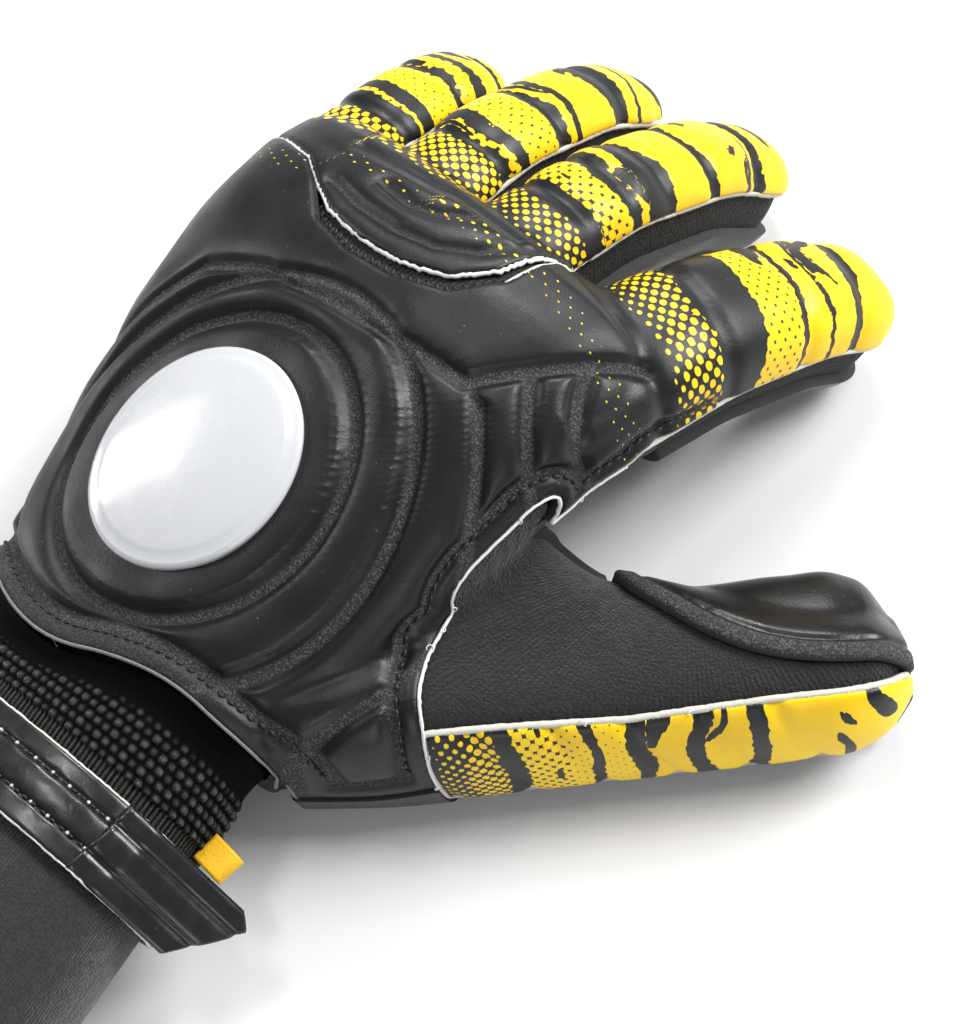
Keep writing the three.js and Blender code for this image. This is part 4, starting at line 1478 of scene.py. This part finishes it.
def back_relief(fields, edge):
    """Stepped pads round the badge, the cells beside the thumb, the hems and the index."""
    points = fields.points
    rings = [ring_distance(points, ring) for ring in RINGS]
    below = plan_field(points, TOP_GROOVE, [(-150, 45), (-150, -90), (150, -90), (150, 82.2)])
    rings[2] = np.maximum(rings[2], -below)
    badge = ring_distance(points, (BADGE["long"], BADGE["short"], BADGE["short"]))
    away = np.abs(rings[0])
    for d in rings[1:]:
        away = np.minimum(away, np.abs(d))
    for line in BACK_GROOVES:
        away = np.minimum(away, line_distance(points, line)[0])
    top = np.zeros(len(points))
    for inner, outer in zip([badge] + rings, rings):
        share = (inner / (inner - outer).clip(1)).clip(0, 1)
        top = np.where((inner > -3) & (outer < 0), -0.5 + 1.2 * share, top)
    x, y = points[:, 0], points[:, 1]
    wavy = 0.12 * np.sin(x * 0.31 + y * 0.17) + 0.1 * np.sin(x * 0.13 - y * 0.23 + 1.7)
    share = hem_inward(fields, edge)
    wrist = smoothstep(42, 32, x)
    outside = share < 1
    from_hem = np.abs(share - 1) * np.interp(y, *np.array(HEM_WIDTHS).T)
    from_hem = np.where(outside, (from_hem - 0.3 * wrist).clip(0), from_hem)
    hem = smoothstep(0.76, 0.7, share)
    on_index = smoothstep(0.2, 0.8, fields.shares["index"])
    on_index = on_index * smoothstep(4, 12, fields.place["index"][0])
    shallow = 1 - 0.55 * on_index * smoothstep(104, 122, y)
    pad = puffed(np.minimum(away, np.where(outside, 99, from_hem)), top + wavy)
    band = puffed(np.where(outside, from_hem, 99), -0.55, 1.5, 1.6)
    relief = np.where(outside, band, pad) * shallow
    across = segments(fields.place["index"][0], FINGER_CREASES["index"], 0.9, 1.9)
    relief = relief + across * on_index
    floor = smoothstep(GROOVE_HALF + 0.35, GROOVE_HALF - 0.1, np.minimum(away, from_hem))
    rough = floor * (1 - on_index * smoothstep(118, 128, y))
    rough = np.maximum(rough, 0.42 * hem * wrist)
    return relief + rounded_edge(edge, 0.9, 1.5), rough


def knuckle_relief(fields, edge):
    points = fields.points
    away = line_distance(points, KNUCKLE_GROOVES[0])[0]
    for line in KNUCKLE_GROOVES[1:]:
        away = np.minimum(away, line_distance(points, line)[0])
    near = smoothstep(9, 3, fields.knuckle_side)
    relief = puffed(away + 0.5, 0.0, 1.8, 5.0)
    across = sum(
        fields.shares[name] * segments(fields.place[name][0], FINGER_CREASES[name], 1.0, 1.9)
        for name in NAMES[1:]
    )
    across = across * (1 - near)
    rough = 0.5 * smoothstep(1.1, 0.3, away)
    return np.minimum(relief, across) + rounded_edge(edge, 1.0, 1.7), rough


def finger_maps(points):
    s, around = Fields(points).finger_coordinates()
    return {"finger": (around, s), "cloth": (around, s)}


def plan_map(points):
    return {"cloth": (points[:, 0], points[:, 1])}


def finger_seed(fields):
    """A number that differs from finger to finger, so that their bands do too."""
    seeds = {"index": 4.0, "middle": 1.0, "ring": 2.2, "little": 3.1}
    return sum(fields.shares[name] * seed for name, seed in seeds.items())


def make_pad(name, surface, relief_at, materials, maps, seed=None):
    fields = Fields(surface[0])
    edge = border_distance(surface)
    relief, rough = relief_at(fields, edge)
    seeds = finger_seed(fields) if seed is None else np.full(len(edge), seed)
    marks = {"floor": rough, "seed": seeds}
    piece = thick_piece(name, surface, relief, PAD_WALL, materials, maps, marks)
    smooth_outside(piece, edge)
    thin_inside(piece, len(edge), 0.15)
    return piece


back = make_pad(
    "back_pads", back_surface, back_relief, [finger_skins["index"], dark_edge, lining],
    finger_maps(back_surface[0]),
)
knuckle = make_pad(
    "finger_pads", knuckle_surface, knuckle_relief, [finger_skins["middle"], dark_edge, lining],
    finger_maps(knuckle_surface[0]),
)


def give_skins(piece, names):
    """Gives each finger's outer faces the skin of that finger."""
    mesh = piece.data
    slots = read(mesh.polygons, "material_index", 1, np.int32)
    shares = finger_shares(to_hand(read(mesh.polygons, "center", 3)))
    for name in names:
        mesh.materials.append(finger_skins[name])
        own = (slots == 0) & (shares[name] > 0.5)
        slots[own] = len(mesh.materials) - 1
    mesh.polygons.foreach_set("material_index", slots)


give_skins(knuckle, ("ring", "little"))


def thumb_back_relief(fields, edge):
    """Slanting segments along the thumb's back strip."""
    slant = fields.along - 0.35 * (fields.angle - 170) * 0.3
    relief = segments(slant, THUMB_CREASES, 0.9, 1.8)
    return relief + rounded_edge(edge, 1.1, 2.2), np.zeros(len(edge))


def thumb_dish(fields, edge):
    """The thumb's latex sags between its rolled edge and the fingertip."""
    band = latex_side(fields)
    facing = smoothstep(-45, -15, fields.angle) * smoothstep(128, 118, fields.angle)
    inner = smoothstep(3.6, 14, edge) * facing
    lip = smoothstep(3.9, 3.2, band) * facing * smoothstep(-2, 0, band)
    dish = THUMB_DISH
    fold = groove(band - dish["fold_at"], dish["fold_depth"], dish["fold_half"])
    relief = -dish["sag"] * inner + dish["lip"] * lip + fold * facing
    return relief + rounded_edge(edge, 0.7, 1.2), lip


def thumb_maps(points):
    along, angle, _ = thumb_place(points)
    return {"finger": ((angle - 170) * 0.3, along - 20), "cloth": (angle * 0.3, along)}


thumb_back = make_pad(
    "thumb_back_pad", thumb_back_surface, thumb_back_relief, [pad_thumb, dark_edge, lining],
    thumb_maps(thumb_back_surface[0]), 5.0,
)
thumb_palm = make_pad(
    "thumb_latex", thumb_palm_surface, thumb_dish, [latex, grey_edge, lining],
    thumb_maps(thumb_palm_surface[0]), 0.0,
)


def web_map(points):
    """Ribs that fan out from beyond the crotch of thumb and index."""
    x = points[:, 0] - 74
    y = points[:, 1] - 104
    steep = smoothstep(-6, 0, Fields(points).trunk_side) * (points[:, 2] - 30)
    return {"cloth": (np.arctan2(x, -y) * 46, np.hypot(x, y) + steep)}


def cloth_piece(name, surface, material, maps):
    points, normals, tris = surface
    sunk = (points - normals * FABRIC_DEPTH, normals, tris)
    return thick_piece(name, sunk, 0.0, FABRIC_WALL, [material], maps)


palm = thick_piece(
    "palm_latex", palm_surface, 0, PAD_WALL, [latex, grey_edge, lining],
    plan_map(palm_surface[0]),
)
web = cloth_piece("thumb_web_cloth", web_surface, stretch, web_map(web_surface[0]))
thumb_strip = cloth_piece(
    "thumb_side_cloth", thumb_strip_surface, side_cloth, thumb_maps(thumb_strip_surface[0])
)
channel_map = plan_map(channel_surface[0])
channel = cloth_piece("knuckle_channel_cloth", channel_surface, stretch, channel_map)
strips = {
    name: cloth_piece(name + "_cloth", s, side_cloth, finger_maps(s[0]))
    for name, s in strip_surfaces.items()
}


# Cut edges, threads and stitches

CUT_EDGE = [(-0.4, -0.6), (0.4, -0.7), (0.8, -1.05), (0.8, -1.6), (0.4, -1.85), (-0.4, -1.85)]
LOW_EDGE = [(-0.4, -0.7), (0.2, -0.8), (0.5, -1.1), (0.5, -1.5), (0.1, -1.7), (-0.4, -1.7)]
THIN_EDGE = [(-0.3, -0.5), (0.15, -0.6), (0.42, -0.9), (0.35, -1.3), (0.0, -1.5), (-0.3, -1.3)]
BORDER_LINE = [(-0.25, -0.6), (0.25, -0.35), (0.55, -0.75), (0.45, -1.2), (0.0, -1.3)]


def radial_border(points):
    x, y, z = points.T
    near = (line_distance(points, THUMB_LINE)[0] < 1.0) | (y > 37)
    pit = (y > 82.5) & (z > 47.5)
    return near & (x > 50) & (y > 8) & (y <= 99) & ~pit


def index_border(points):
    return (points[:, 1] > 98) & (points[:, 0] > 28)


def wrist_border(points):
    return plan_field(points, WRIST_LINE, [(150, 240), (-150, 240)]) < 0.6


def low_knuckle_border(points):
    near = line_distance(points, KNUCKLE_LINE)[0] < 2.6
    return near & (points[:, 1] < 127) & (points[:, 2] > 40)


def finger_border(points):
    return ~low_knuckle_border(points)


join_to(
    back,
    strip_mesh("index_edge", edge_lines(back_surface, index_border), CUT_EDGE, cream_edge,
               0.05, 0.08),
    strip_mesh("radial_edge", edge_lines(back_surface, radial_border), BORDER_LINE, thread_white,
               0.12, 0.15),
    strip_mesh("wrist_edge", edge_lines(back_surface, wrist_border), THIN_EDGE, pale_edge, 0.05),
)
join_to(
    knuckle,
    strip_mesh("finger_edge", edge_lines(knuckle_surface, finger_border), CUT_EDGE, cream_edge,
               0.1, 0.12),
    strip_mesh("knuckle_edge", edge_lines(knuckle_surface, low_knuckle_border), LOW_EDGE,
               thread_white, 0.15, 0.15),
)
join_to(
    thumb_back,
    strip_mesh("thumb_edge", edge_lines(thumb_back_surface), CUT_EDGE, cream_edge, 0.03, 0.05),
)


def frays(name, lines, spots, material):
    """Loose curled ends of thread beside a line, at the places nearest to given ones."""
    p = np.vstack([line[0] for line in lines])
    n = np.vstack([line[1] for line in lines])
    t = np.vstack([line[2] for line in lines])
    curls = []
    for x, y, long, bend in spots:
        k = int(np.hypot(p[:, 0] - x, p[:, 1] - y).argmin())
        out = np.cross(t[k], n[k])
        turn = np.linspace(0.2, 0.2 + bend, FRAY_STEPS)
        step = long / FRAY_STEPS
        way = np.cos(turn)[:, None] * out + np.sin(turn)[:, None] * t[k]
        path = p[k] - n[k] * 0.9 + np.cumsum(way, 0) * step
        path += n[k] * (0.8 * np.sin(np.linspace(0, 2.6, FRAY_STEPS)))[:, None]
        curls.append((path, np.tile(n[k], (FRAY_STEPS, 1)), way, False))
    turns = np.linspace(0, 2 * math.pi, 6)[:-1]
    ring = [(FRAY_RADIUS * math.cos(a), FRAY_RADIUS * math.sin(a)) for a in turns]
    return strip_mesh(name, curls, ring, material)


join_to(
    back,
    frays("radial_frays", edge_lines(back_surface, radial_border), RADIAL_FRAYS, thread_white),
)
join_to(
    thumb_back,
    frays("thumb_frays", edge_lines(thumb_back_surface), THUMB_FRAYS, thread_white),
)
hem_lines = contour(
    back_surface,
    hem_inward(Fields(back_surface[0]), border_distance(back_surface))
    - 0.84 + 0.09 * smoothstep(42, 32, back_surface[0][:, 0]),
    keep=lambda p: (p[:, 1] < 119) & (p[:, 2] > 24),
)
join_to(
    back,
    stitch_mesh("hem_stitches", raised(hem_lines, lambda p: np.full(len(p), -1.5)),
                thread_dark, spacing=2.7, length=2.2, radius=0.42),
)
channel_field = Fields(channel_surface[0])
channel_lines = contour(
    channel_surface, channel_field.knuckle_side + 0.55, keep=lambda p: p[:, 2] > 40
)
join_to(
    channel,
    stitch_mesh("channel_stitches", raised(channel_lines, lambda p: np.full(len(p), -FABRIC_DEPTH)),
                thread_dark, spacing=2.1, length=2.6, radius=0.4, turn=62.0),
)


# The wrist, on a grid round the trunk


def trunk_grid(angles, ys, proud):
    """Points of the trunk's surface, each at its own angle and its own y."""
    rows = smooth_rows(TRUNK, ys.ravel(), range(8))
    angle = angles.ravel()
    power = 2 / SQUARENESS
    c = np.sign(np.cos(angle)) * np.abs(np.cos(angle)) ** power
    s = np.sign(np.sin(angle)) * np.abs(np.sin(angle)) ** power
    grow = np.broadcast_to(proud, angles.shape).ravel()
    x = rows[:, 3] + np.where(c > 0, rows[:, 5], rows[:, 4]) * c + grow * c
    z = rows[:, 1] + np.where(s > 0, rows[:, 6], rows[:, 7]) * s + grow * s
    return np.stack([x, ys.ravel(), z], 1)


def wrist_angles(count):
    """Angles round the trunk at equal steps of its outline."""
    fine_angles = np.linspace(0, 2 * math.pi, 2000)
    outline = trunk_grid(fine_angles, np.full(2000, -35.0), 0)
    run = np.append(0, np.cumsum(np.linalg.norm(np.diff(outline, axis=0), axis=1)))
    at = np.linspace(0, run[-1], count, endpoint=False)
    return np.interp(at, run, fine_angles), at, run[-1]


def ring_piece(name, count, rows, low, high, outer, wall, material, mark=None):
    """A band round the wrist from low(x) to high(x), with its outer height over the trunk."""
    angles, around, total = wrist_angles(count)
    v = np.linspace(0, 1, rows)
    A, V = np.meshgrid(angles, v)
    ys = np.full(A.shape, -30.0)
    for _ in range(3):
        x = trunk_grid(A, ys, 0)[:, 0].reshape(A.shape)
        ys = low(x) + (high(x) - low(x)) * V
    U = np.tile(around, (rows, 1))
    span = (high(x) - low(x)) * V
    top = trunk_grid(A, ys, outer(U, span, V, high(x) - low(x)))
    bottom = trunk_grid(A, ys, outer(U, span, V, high(x) - low(x)) - wall)
    skin = grid_faces(rows, count, False, True)
    n = rows * count
    i = np.arange(count)
    j = (i + 1) % count
    last = (rows - 1) * count
    low_end = np.stack([i, i + n, j + n, j], 1)
    high_end = last + np.stack([j, j + n, i + n, i], 1)
    faces = np.vstack([skin, skin[:, ::-1] + n, low_end, high_end])
    piece = new_object(name, np.vstack([pressed(top), pressed(bottom, wall)]), faces.tolist())
    mesh = piece.data
    mesh.materials.append(material)
    mesh.polygons.foreach_set("use_smooth", np.ones(len(faces), bool))
    corner = read(mesh.loops, "vertex_index", 1, np.int32)
    uv = np.tile(np.stack([U.ravel(), span.ravel()], 1), (2, 1))
    face = np.repeat(np.arange(len(faces)), 4)
    u = uv[corner].astype(np.float32)
    first = uv[corner][::4][face, 0]
    away = first - u[:, 0]
    u[:, 0] += np.where(np.abs(away) > total / 2, np.sign(away) * total, 0)
    layer = mesh.uv_layers.new(name="cloth")
    layer.data.foreach_set("uv", u.ravel())
    # The mark, where given, is the knit's painted light, kept as the top attribute
    if mark is not None:
        add_mark(mesh, "top", np.tile(mark(U, span, V).ravel(), 2).astype(np.float32))
    return piece


def strap_y(offset):
    rise = math.tan(math.radians(STRAP["tilt"]))
    return lambda x: STRAP["middle"] + offset + rise * x


def wrist_y(x):
    line = np.array(WRIST_LINE, float)
    return np.interp(x, line[:, 0], line[:, 1]) - HALF


def bump_share(U, span, V):
    """How high the knitted bumps stand, from 0 to 1; they fade into a plain fold."""
    row = np.floor(span / BUMP[1])
    shift = 0.5 * (row % 2) + 0.1 * np.sin(row * 2.4)
    across = np.abs(np.sin(math.pi * (U / BUMP[0] + shift + 0.05 * np.sin(span * 0.6))))
    along = np.abs(np.sin(math.pi * span / BUMP[1]))
    uneven = 0.8 + 0.2 * np.sin(row * 5.1 + np.floor(U / BUMP[0] + shift) * 3.7)
    return (across * along) ** 0.75 * uneven * smoothstep(0.84, 0.72, V)


def fine_ribs(U, span):
    """Where the fine ribs are, and their own height from 0 to 1."""
    band = smoothstep(*FINE_BAND, span - STRAP_HALF)
    return band, np.abs(np.sin(math.pi * U / FINE_RIB))


def knit_bumps(U, span, V, height):
    """Chunky knitted bumps, and finer ribs on the band beside the strap."""
    band, ribs = fine_ribs(U, span)
    sag = -4.3 + 3.1 * smoothstep(1.0, 0.35, V) - 0.5 * band
    return sag + 1.5 * bump_share(U, span, V) * (1 - band) + 0.4 * ribs * band


def knit_painted_light(U, span, V):
    """Painted light: highlight on the bumps and fine ribs, shade between them and on the fold."""
    band, ribs = fine_ribs(U, span)
    return bump_share(U, span, V) * (1 - band) + 0.7 * ribs * band


# The knit's colour carries painted light: highlight on the bump tops, shade between them
wristband = ring_piece(
    "wristband_knit", 560, 84, strap_y(0.2), wrist_y, knit_bumps, 1.5, knit_cloth,
    knit_painted_light,
)
cuff = ring_piece(
    "cuff_jersey", 260, 34, lambda x: np.full_like(x, -78.0), strap_y(-0.2),
    lambda U, span, V, height: -2.5 + 0.7 * smoothstep(3.2, 0.5, span), 1.4, jersey,
)


def strap_face(U, span, V, height):
    """Two stitched rows with a puffed rib between them and a thin raised edge."""
    w = span - height / 2
    middle = (STRAP_ROWS[0] + STRAP_ROWS[1]) / 2
    reach = (STRAP_ROWS[1] - STRAP_ROWS[0]) / 2
    rib = STRAP["rib"] * np.sqrt(np.maximum(0, 1 - ((w - middle) / reach) ** 2))
    rows = sum(groove(w - row, STRAP["row"], STRAP["row"]) for row in STRAP_ROWS)
    sink = rounded_edge(height / 2 - np.abs(w), 0.5, 1.2)
    ripple = 0.12 * np.sin(U * 0.9 + w * 0.3) * np.exp(-((np.abs(w - middle) - reach) ** 2) / 2)
    return STRAP["proud"] + rib + rows + sink + ripple


strap = ring_piece(
    "strap_band", 460, 54, strap_y(-STRAP_HALF), strap_y(STRAP_HALF), strap_face,
    STRAP["wall"], strap_skin,
)


def wrist_line(offset, lift):
    """A closed line round the strap, at an offset from its middle."""
    angles, _, _ = wrist_angles(300)
    ys = np.full(300, -30.0)
    for _ in range(3):
        ys = strap_y(offset)(trunk_grid(angles, ys, 0)[:, 0])
    p = trunk_grid(angles, ys, lift)
    n = trunk_grid(angles, ys, 1.0) - trunk_grid(angles, ys, 0.0)
    n /= np.linalg.norm(n, axis=1)[:, None]
    return (*even_line(p, n, True, 0.8, 1), True)


join_to(
    strap,
    strip_mesh("strap_edges", [wrist_line(w, 0.5) for w in (PIPING_LINE, -PIPING_LINE)],
               STRAP_PIPING, cream_edge, 0.2, 0.1),
    stitch_mesh("strap_stitches", [wrist_line(w, 0.35) for w in STRAP_ROWS], thread_dark,
                spacing=2.6, length=1.9, radius=0.36),
    # Pale short pieces on the stitched rows: painted glints of the stitches
    stitch_mesh("strap_stitch_glints", [wrist_line(w, 0.45) for w in STRAP_ROWS], glint_thread,
                spacing=5.2, length=0.9, radius=0.4),
)

# The badge: a low dome on the back panel
tree = BVHTree.FromPolygons([Vector(p) for p in fine[0]], fine[2].tolist())


def drop(x, y):
    hit = tree.ray_cast(Vector((x, y, 120)), Vector((0, 0, -1)))
    return hit[0].z


def make_badge():
    lean = math.radians(BADGE["lean"])
    sides, rows = 96, 26
    shares = np.linspace(0.03, 1, rows)
    verts = []
    for share in shares:
        for k in range(sides):
            a = 2 * math.pi * k / sides
            u = math.cos(a) * BADGE["long"] * share
            v = math.sin(a) * BADGE["short"] * share
            x = BADGE["x"] + u * math.sin(lean) + v * math.cos(lean)
            y = BADGE["y"] + u * math.cos(lean) - v * math.sin(lean)
            from_groove = (share - DOME["groove_at"]) / DOME["groove_half"]
            rim = -DOME["groove_depth"] * math.exp(-(from_groove**2))
            crown = math.sqrt(max(0.0, 1 - (share * 0.985) ** 2))
            verts.append((x, y, drop(x, y) + DOME["base"] + DOME["height"] * crown + rim))
    for k in range(sides):
        x, y, z = verts[(rows - 1) * sides + k]
        verts.append((x, y, z - DOME["wall"]))
    faces = [list(range(sides))[::-1]]
    faces += grid_faces(rows + 1, sides, False, True).tolist()
    faces.append(list(range(rows * sides, (rows + 1) * sides)))
    faces = [tuple(f)[::-1] for f in faces]
    made = new_object("badge_dome", to_world(verts), faces)
    made.data.materials.append(badge_skin)
    made.data.shade_smooth()
    return made


badge = make_badge()


def make_strap_end():
    """The strap's free end: it leaves the wrist in a straight line and is cut to a point."""
    end = STRAP_END
    turn = math.radians(end["angle"])
    along = np.array([math.cos(turn), 0, math.sin(turn)])
    out = np.array([-along[2], 0, along[0]])
    rows, columns = 45, 31
    verts = []
    for side in ("face", "base"):
        for v in np.linspace(-STRAP_HALF, STRAP_HALF, columns):
            over = v - end["point"]
            reach = end["reach"] - end["cut_above"] * max(0.0, over)
            reach += end["cut_below"] * min(0.0, over)
            height = end["base"]
            if side == "face":
                height = strap_face(0.0, v + STRAP_HALF, 0.0, STRAP["width"])
                height += end["height"] - STRAP["proud"]
            for u in np.linspace(end["root"], reach, rows):
                curl = end["curl"] * smoothstep(14, 32, u) - end["sunk"] * smoothstep(4, -4, u)
                start = np.array([end["x"], strap_y(v)(end["x"] + u * along[0]), end["z"]])
                verts.append(start + along * u + out * (height + curl))
    made = new_object("strap_end", pressed(verts), slab_faces(columns, rows))
    made.data.materials.append(strap_skin)
    made.data.materials.append(raw_edge)
    for face in made.data.polygons[2 * (rows - 1) * (columns - 1) :]:
        face.material_index = 1 if to_hand([face.center])[0][0] > 50 else 0
    made.data.shade_smooth()
    return made


join_to(strap, make_strap_end())


def make_pull_tab():
    """A folded piece of webbing that stands out from the wrist at the strap's edge."""
    place = np.array(TAB["place"])
    steps = np.linspace(0, len(TAB_FOLD) - 1, 36)
    out, rise = (np.interp(steps, range(len(TAB_FOLD)), column) for column in zip(*TAB_FOLD))
    for values in (out, rise):
        values[1:-1] = (values[:-2] + 2 * values[1:-1] + values[2:]) / 4
    way = np.stack([np.gradient(out), np.gradient(rise)], 1)
    way /= np.linalg.norm(way, axis=1)[:, None]
    half = TAB["width"] / 2
    across = np.linspace(-half, half, 11)
    verts = []
    for depth in (0.0, TAB["depth"]):
        for k in range(len(steps)):
            x = out[k] - way[k][1] * depth
            z = rise[k] + way[k][0] * depth
            for y in across:
                frayed = 0.15 * math.sin(9 * y) if k in (0, len(steps) - 1) else 0
                verts.append(place + (x + frayed, y, z - 0.03 * y))
    faces = slab_faces(len(steps), len(across))
    made = new_object("pull_tab_webbing", to_world(verts), faces)
    made.data.materials.append(tab_cloth)
    made.data.shade_smooth()
    return made


tab = make_pull_tab()

# Camera, floor and lights
azimuth = math.radians(CAMERA_AZIMUTH)
elevation = math.radians(CAMERA_ELEVATION)
back_way = Vector(
    (
        math.sin(azimuth) * math.cos(elevation),
        -math.cos(azimuth) * math.cos(elevation),
        math.sin(elevation),
    )
)
right_way = (-back_way).cross(Vector((0, 0, 1))).normalized()
up_way = right_way.cross(-back_way)
roll = math.radians(CAMERA_ROLL)
right_axis = math.cos(roll) * right_way + math.sin(roll) * up_way
up_axis = -math.sin(roll) * right_way + math.cos(roll) * up_way
turn = LEAN @ Matrix((right_axis, up_axis, back_way)).transposed()
camera_data = bpy.data.cameras.new("camera")
camera_data.lens = CAMERA_LENS
camera_data.sensor_width = 36
camera = bpy.data.objects.new("camera", camera_data)
camera.matrix_world = Matrix.Translation(Vector(to_world([CAMERA_PLACE])[0])) @ turn.to_4x4()
bpy.context.scene.collection.objects.link(camera)
bpy.context.scene.camera = camera

floor_material, floor_tree, floor_shader = new_material("floor")
link(floor_tree, floor_shader, Base_Color=(0.9, 0.9, 0.9, 1), Roughness=0.7)
bpy.ops.mesh.primitive_plane_add(size=8, location=(0, 0, -0.0002))
floor = bpy.context.active_object
floor.name = "floor"
floor.data.materials.append(floor_material)

# Lamps: place, size, power, and the place that each looks at
LAMPS = {
    "key light": ((0.55, 1.15, 1.05), (0.9, 0.6), 32, (0, 0, 0.03)),
    "side light": ((-1.1, -0.5, 0.55), (0.3, 0.9), 6, (0, 0, 0.03)),
    "fill light": ((0.9, -0.9, 0.6), (0.6, 0.6), 4, (0, 0, 0.03)),
    "thumb glint": ((-0.53, 0.85, 0.88), (0.3, 0.3), 8, (0.073, 0.046, 0.034)),
    "strap glint": ((-0.3, 0.1, 1.15), (0.16, 0.3), 2.5, (-0.01, -0.087, 0.05)),
}
lamps = []
for name, (place, size, power, aim) in LAMPS.items():
    lamp = bpy.data.lights.new(name, "AREA")
    lamp.shape = "RECTANGLE"
    lamp.size, lamp.size_y = size
    lamp.energy = power
    made = bpy.data.objects.new(name, lamp)
    made.location = place
    made.rotation_euler = (Vector(aim) - Vector(place)).to_track_quat("-Z", "Y").to_euler()
    bpy.context.scene.collection.objects.link(made)
    lamps.append(made)

world = bpy.data.worlds.new("studio")
world.use_nodes = True
background = world.node_tree.nodes["Background"]
background.inputs["Color"].default_value = SKY
background.inputs["Strength"].default_value = SKY_STRENGTH
bpy.context.scene.world = world
bpy.context.scene.view_settings.view_transform = "Standard"

# What stands for what
PARTS = [
    (back, "back_panel", "back_pad"),
    (knuckle, "knuckle_panel", "finger_pad"),
    (channel, "knuckle_channel", "stretch_fabric"),
    (badge, "badge", "badge"),
    (palm, "palm", "latex"),
    (thumb_back, "thumb_back", "finger_pad"),
    (web, "thumb_web", "stretch_fabric"),
    (thumb_palm, "thumb_palm", "latex"),
    (thumb_strip, "thumb_side_strip", "stretch_fabric"),
    (wristband, "wristband", "knit"),
    (strap, "strap", "strap"),
    (cuff, "cuff", "jersey"),
    (tab, "pull_tab", "tab"),
]
PARTS += [(strips[name], name, "stretch_fabric") for name in strips]

# Each piece hangs under the root body, and the imported part that it stands for is hidden
for piece, node_name, slot in PARTS:
    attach(piece, "root")
    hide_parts(node_name)
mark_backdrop(floor, *lamps)
size = {"cad": CAD_BOX, "shown": [list(corner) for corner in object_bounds()]}
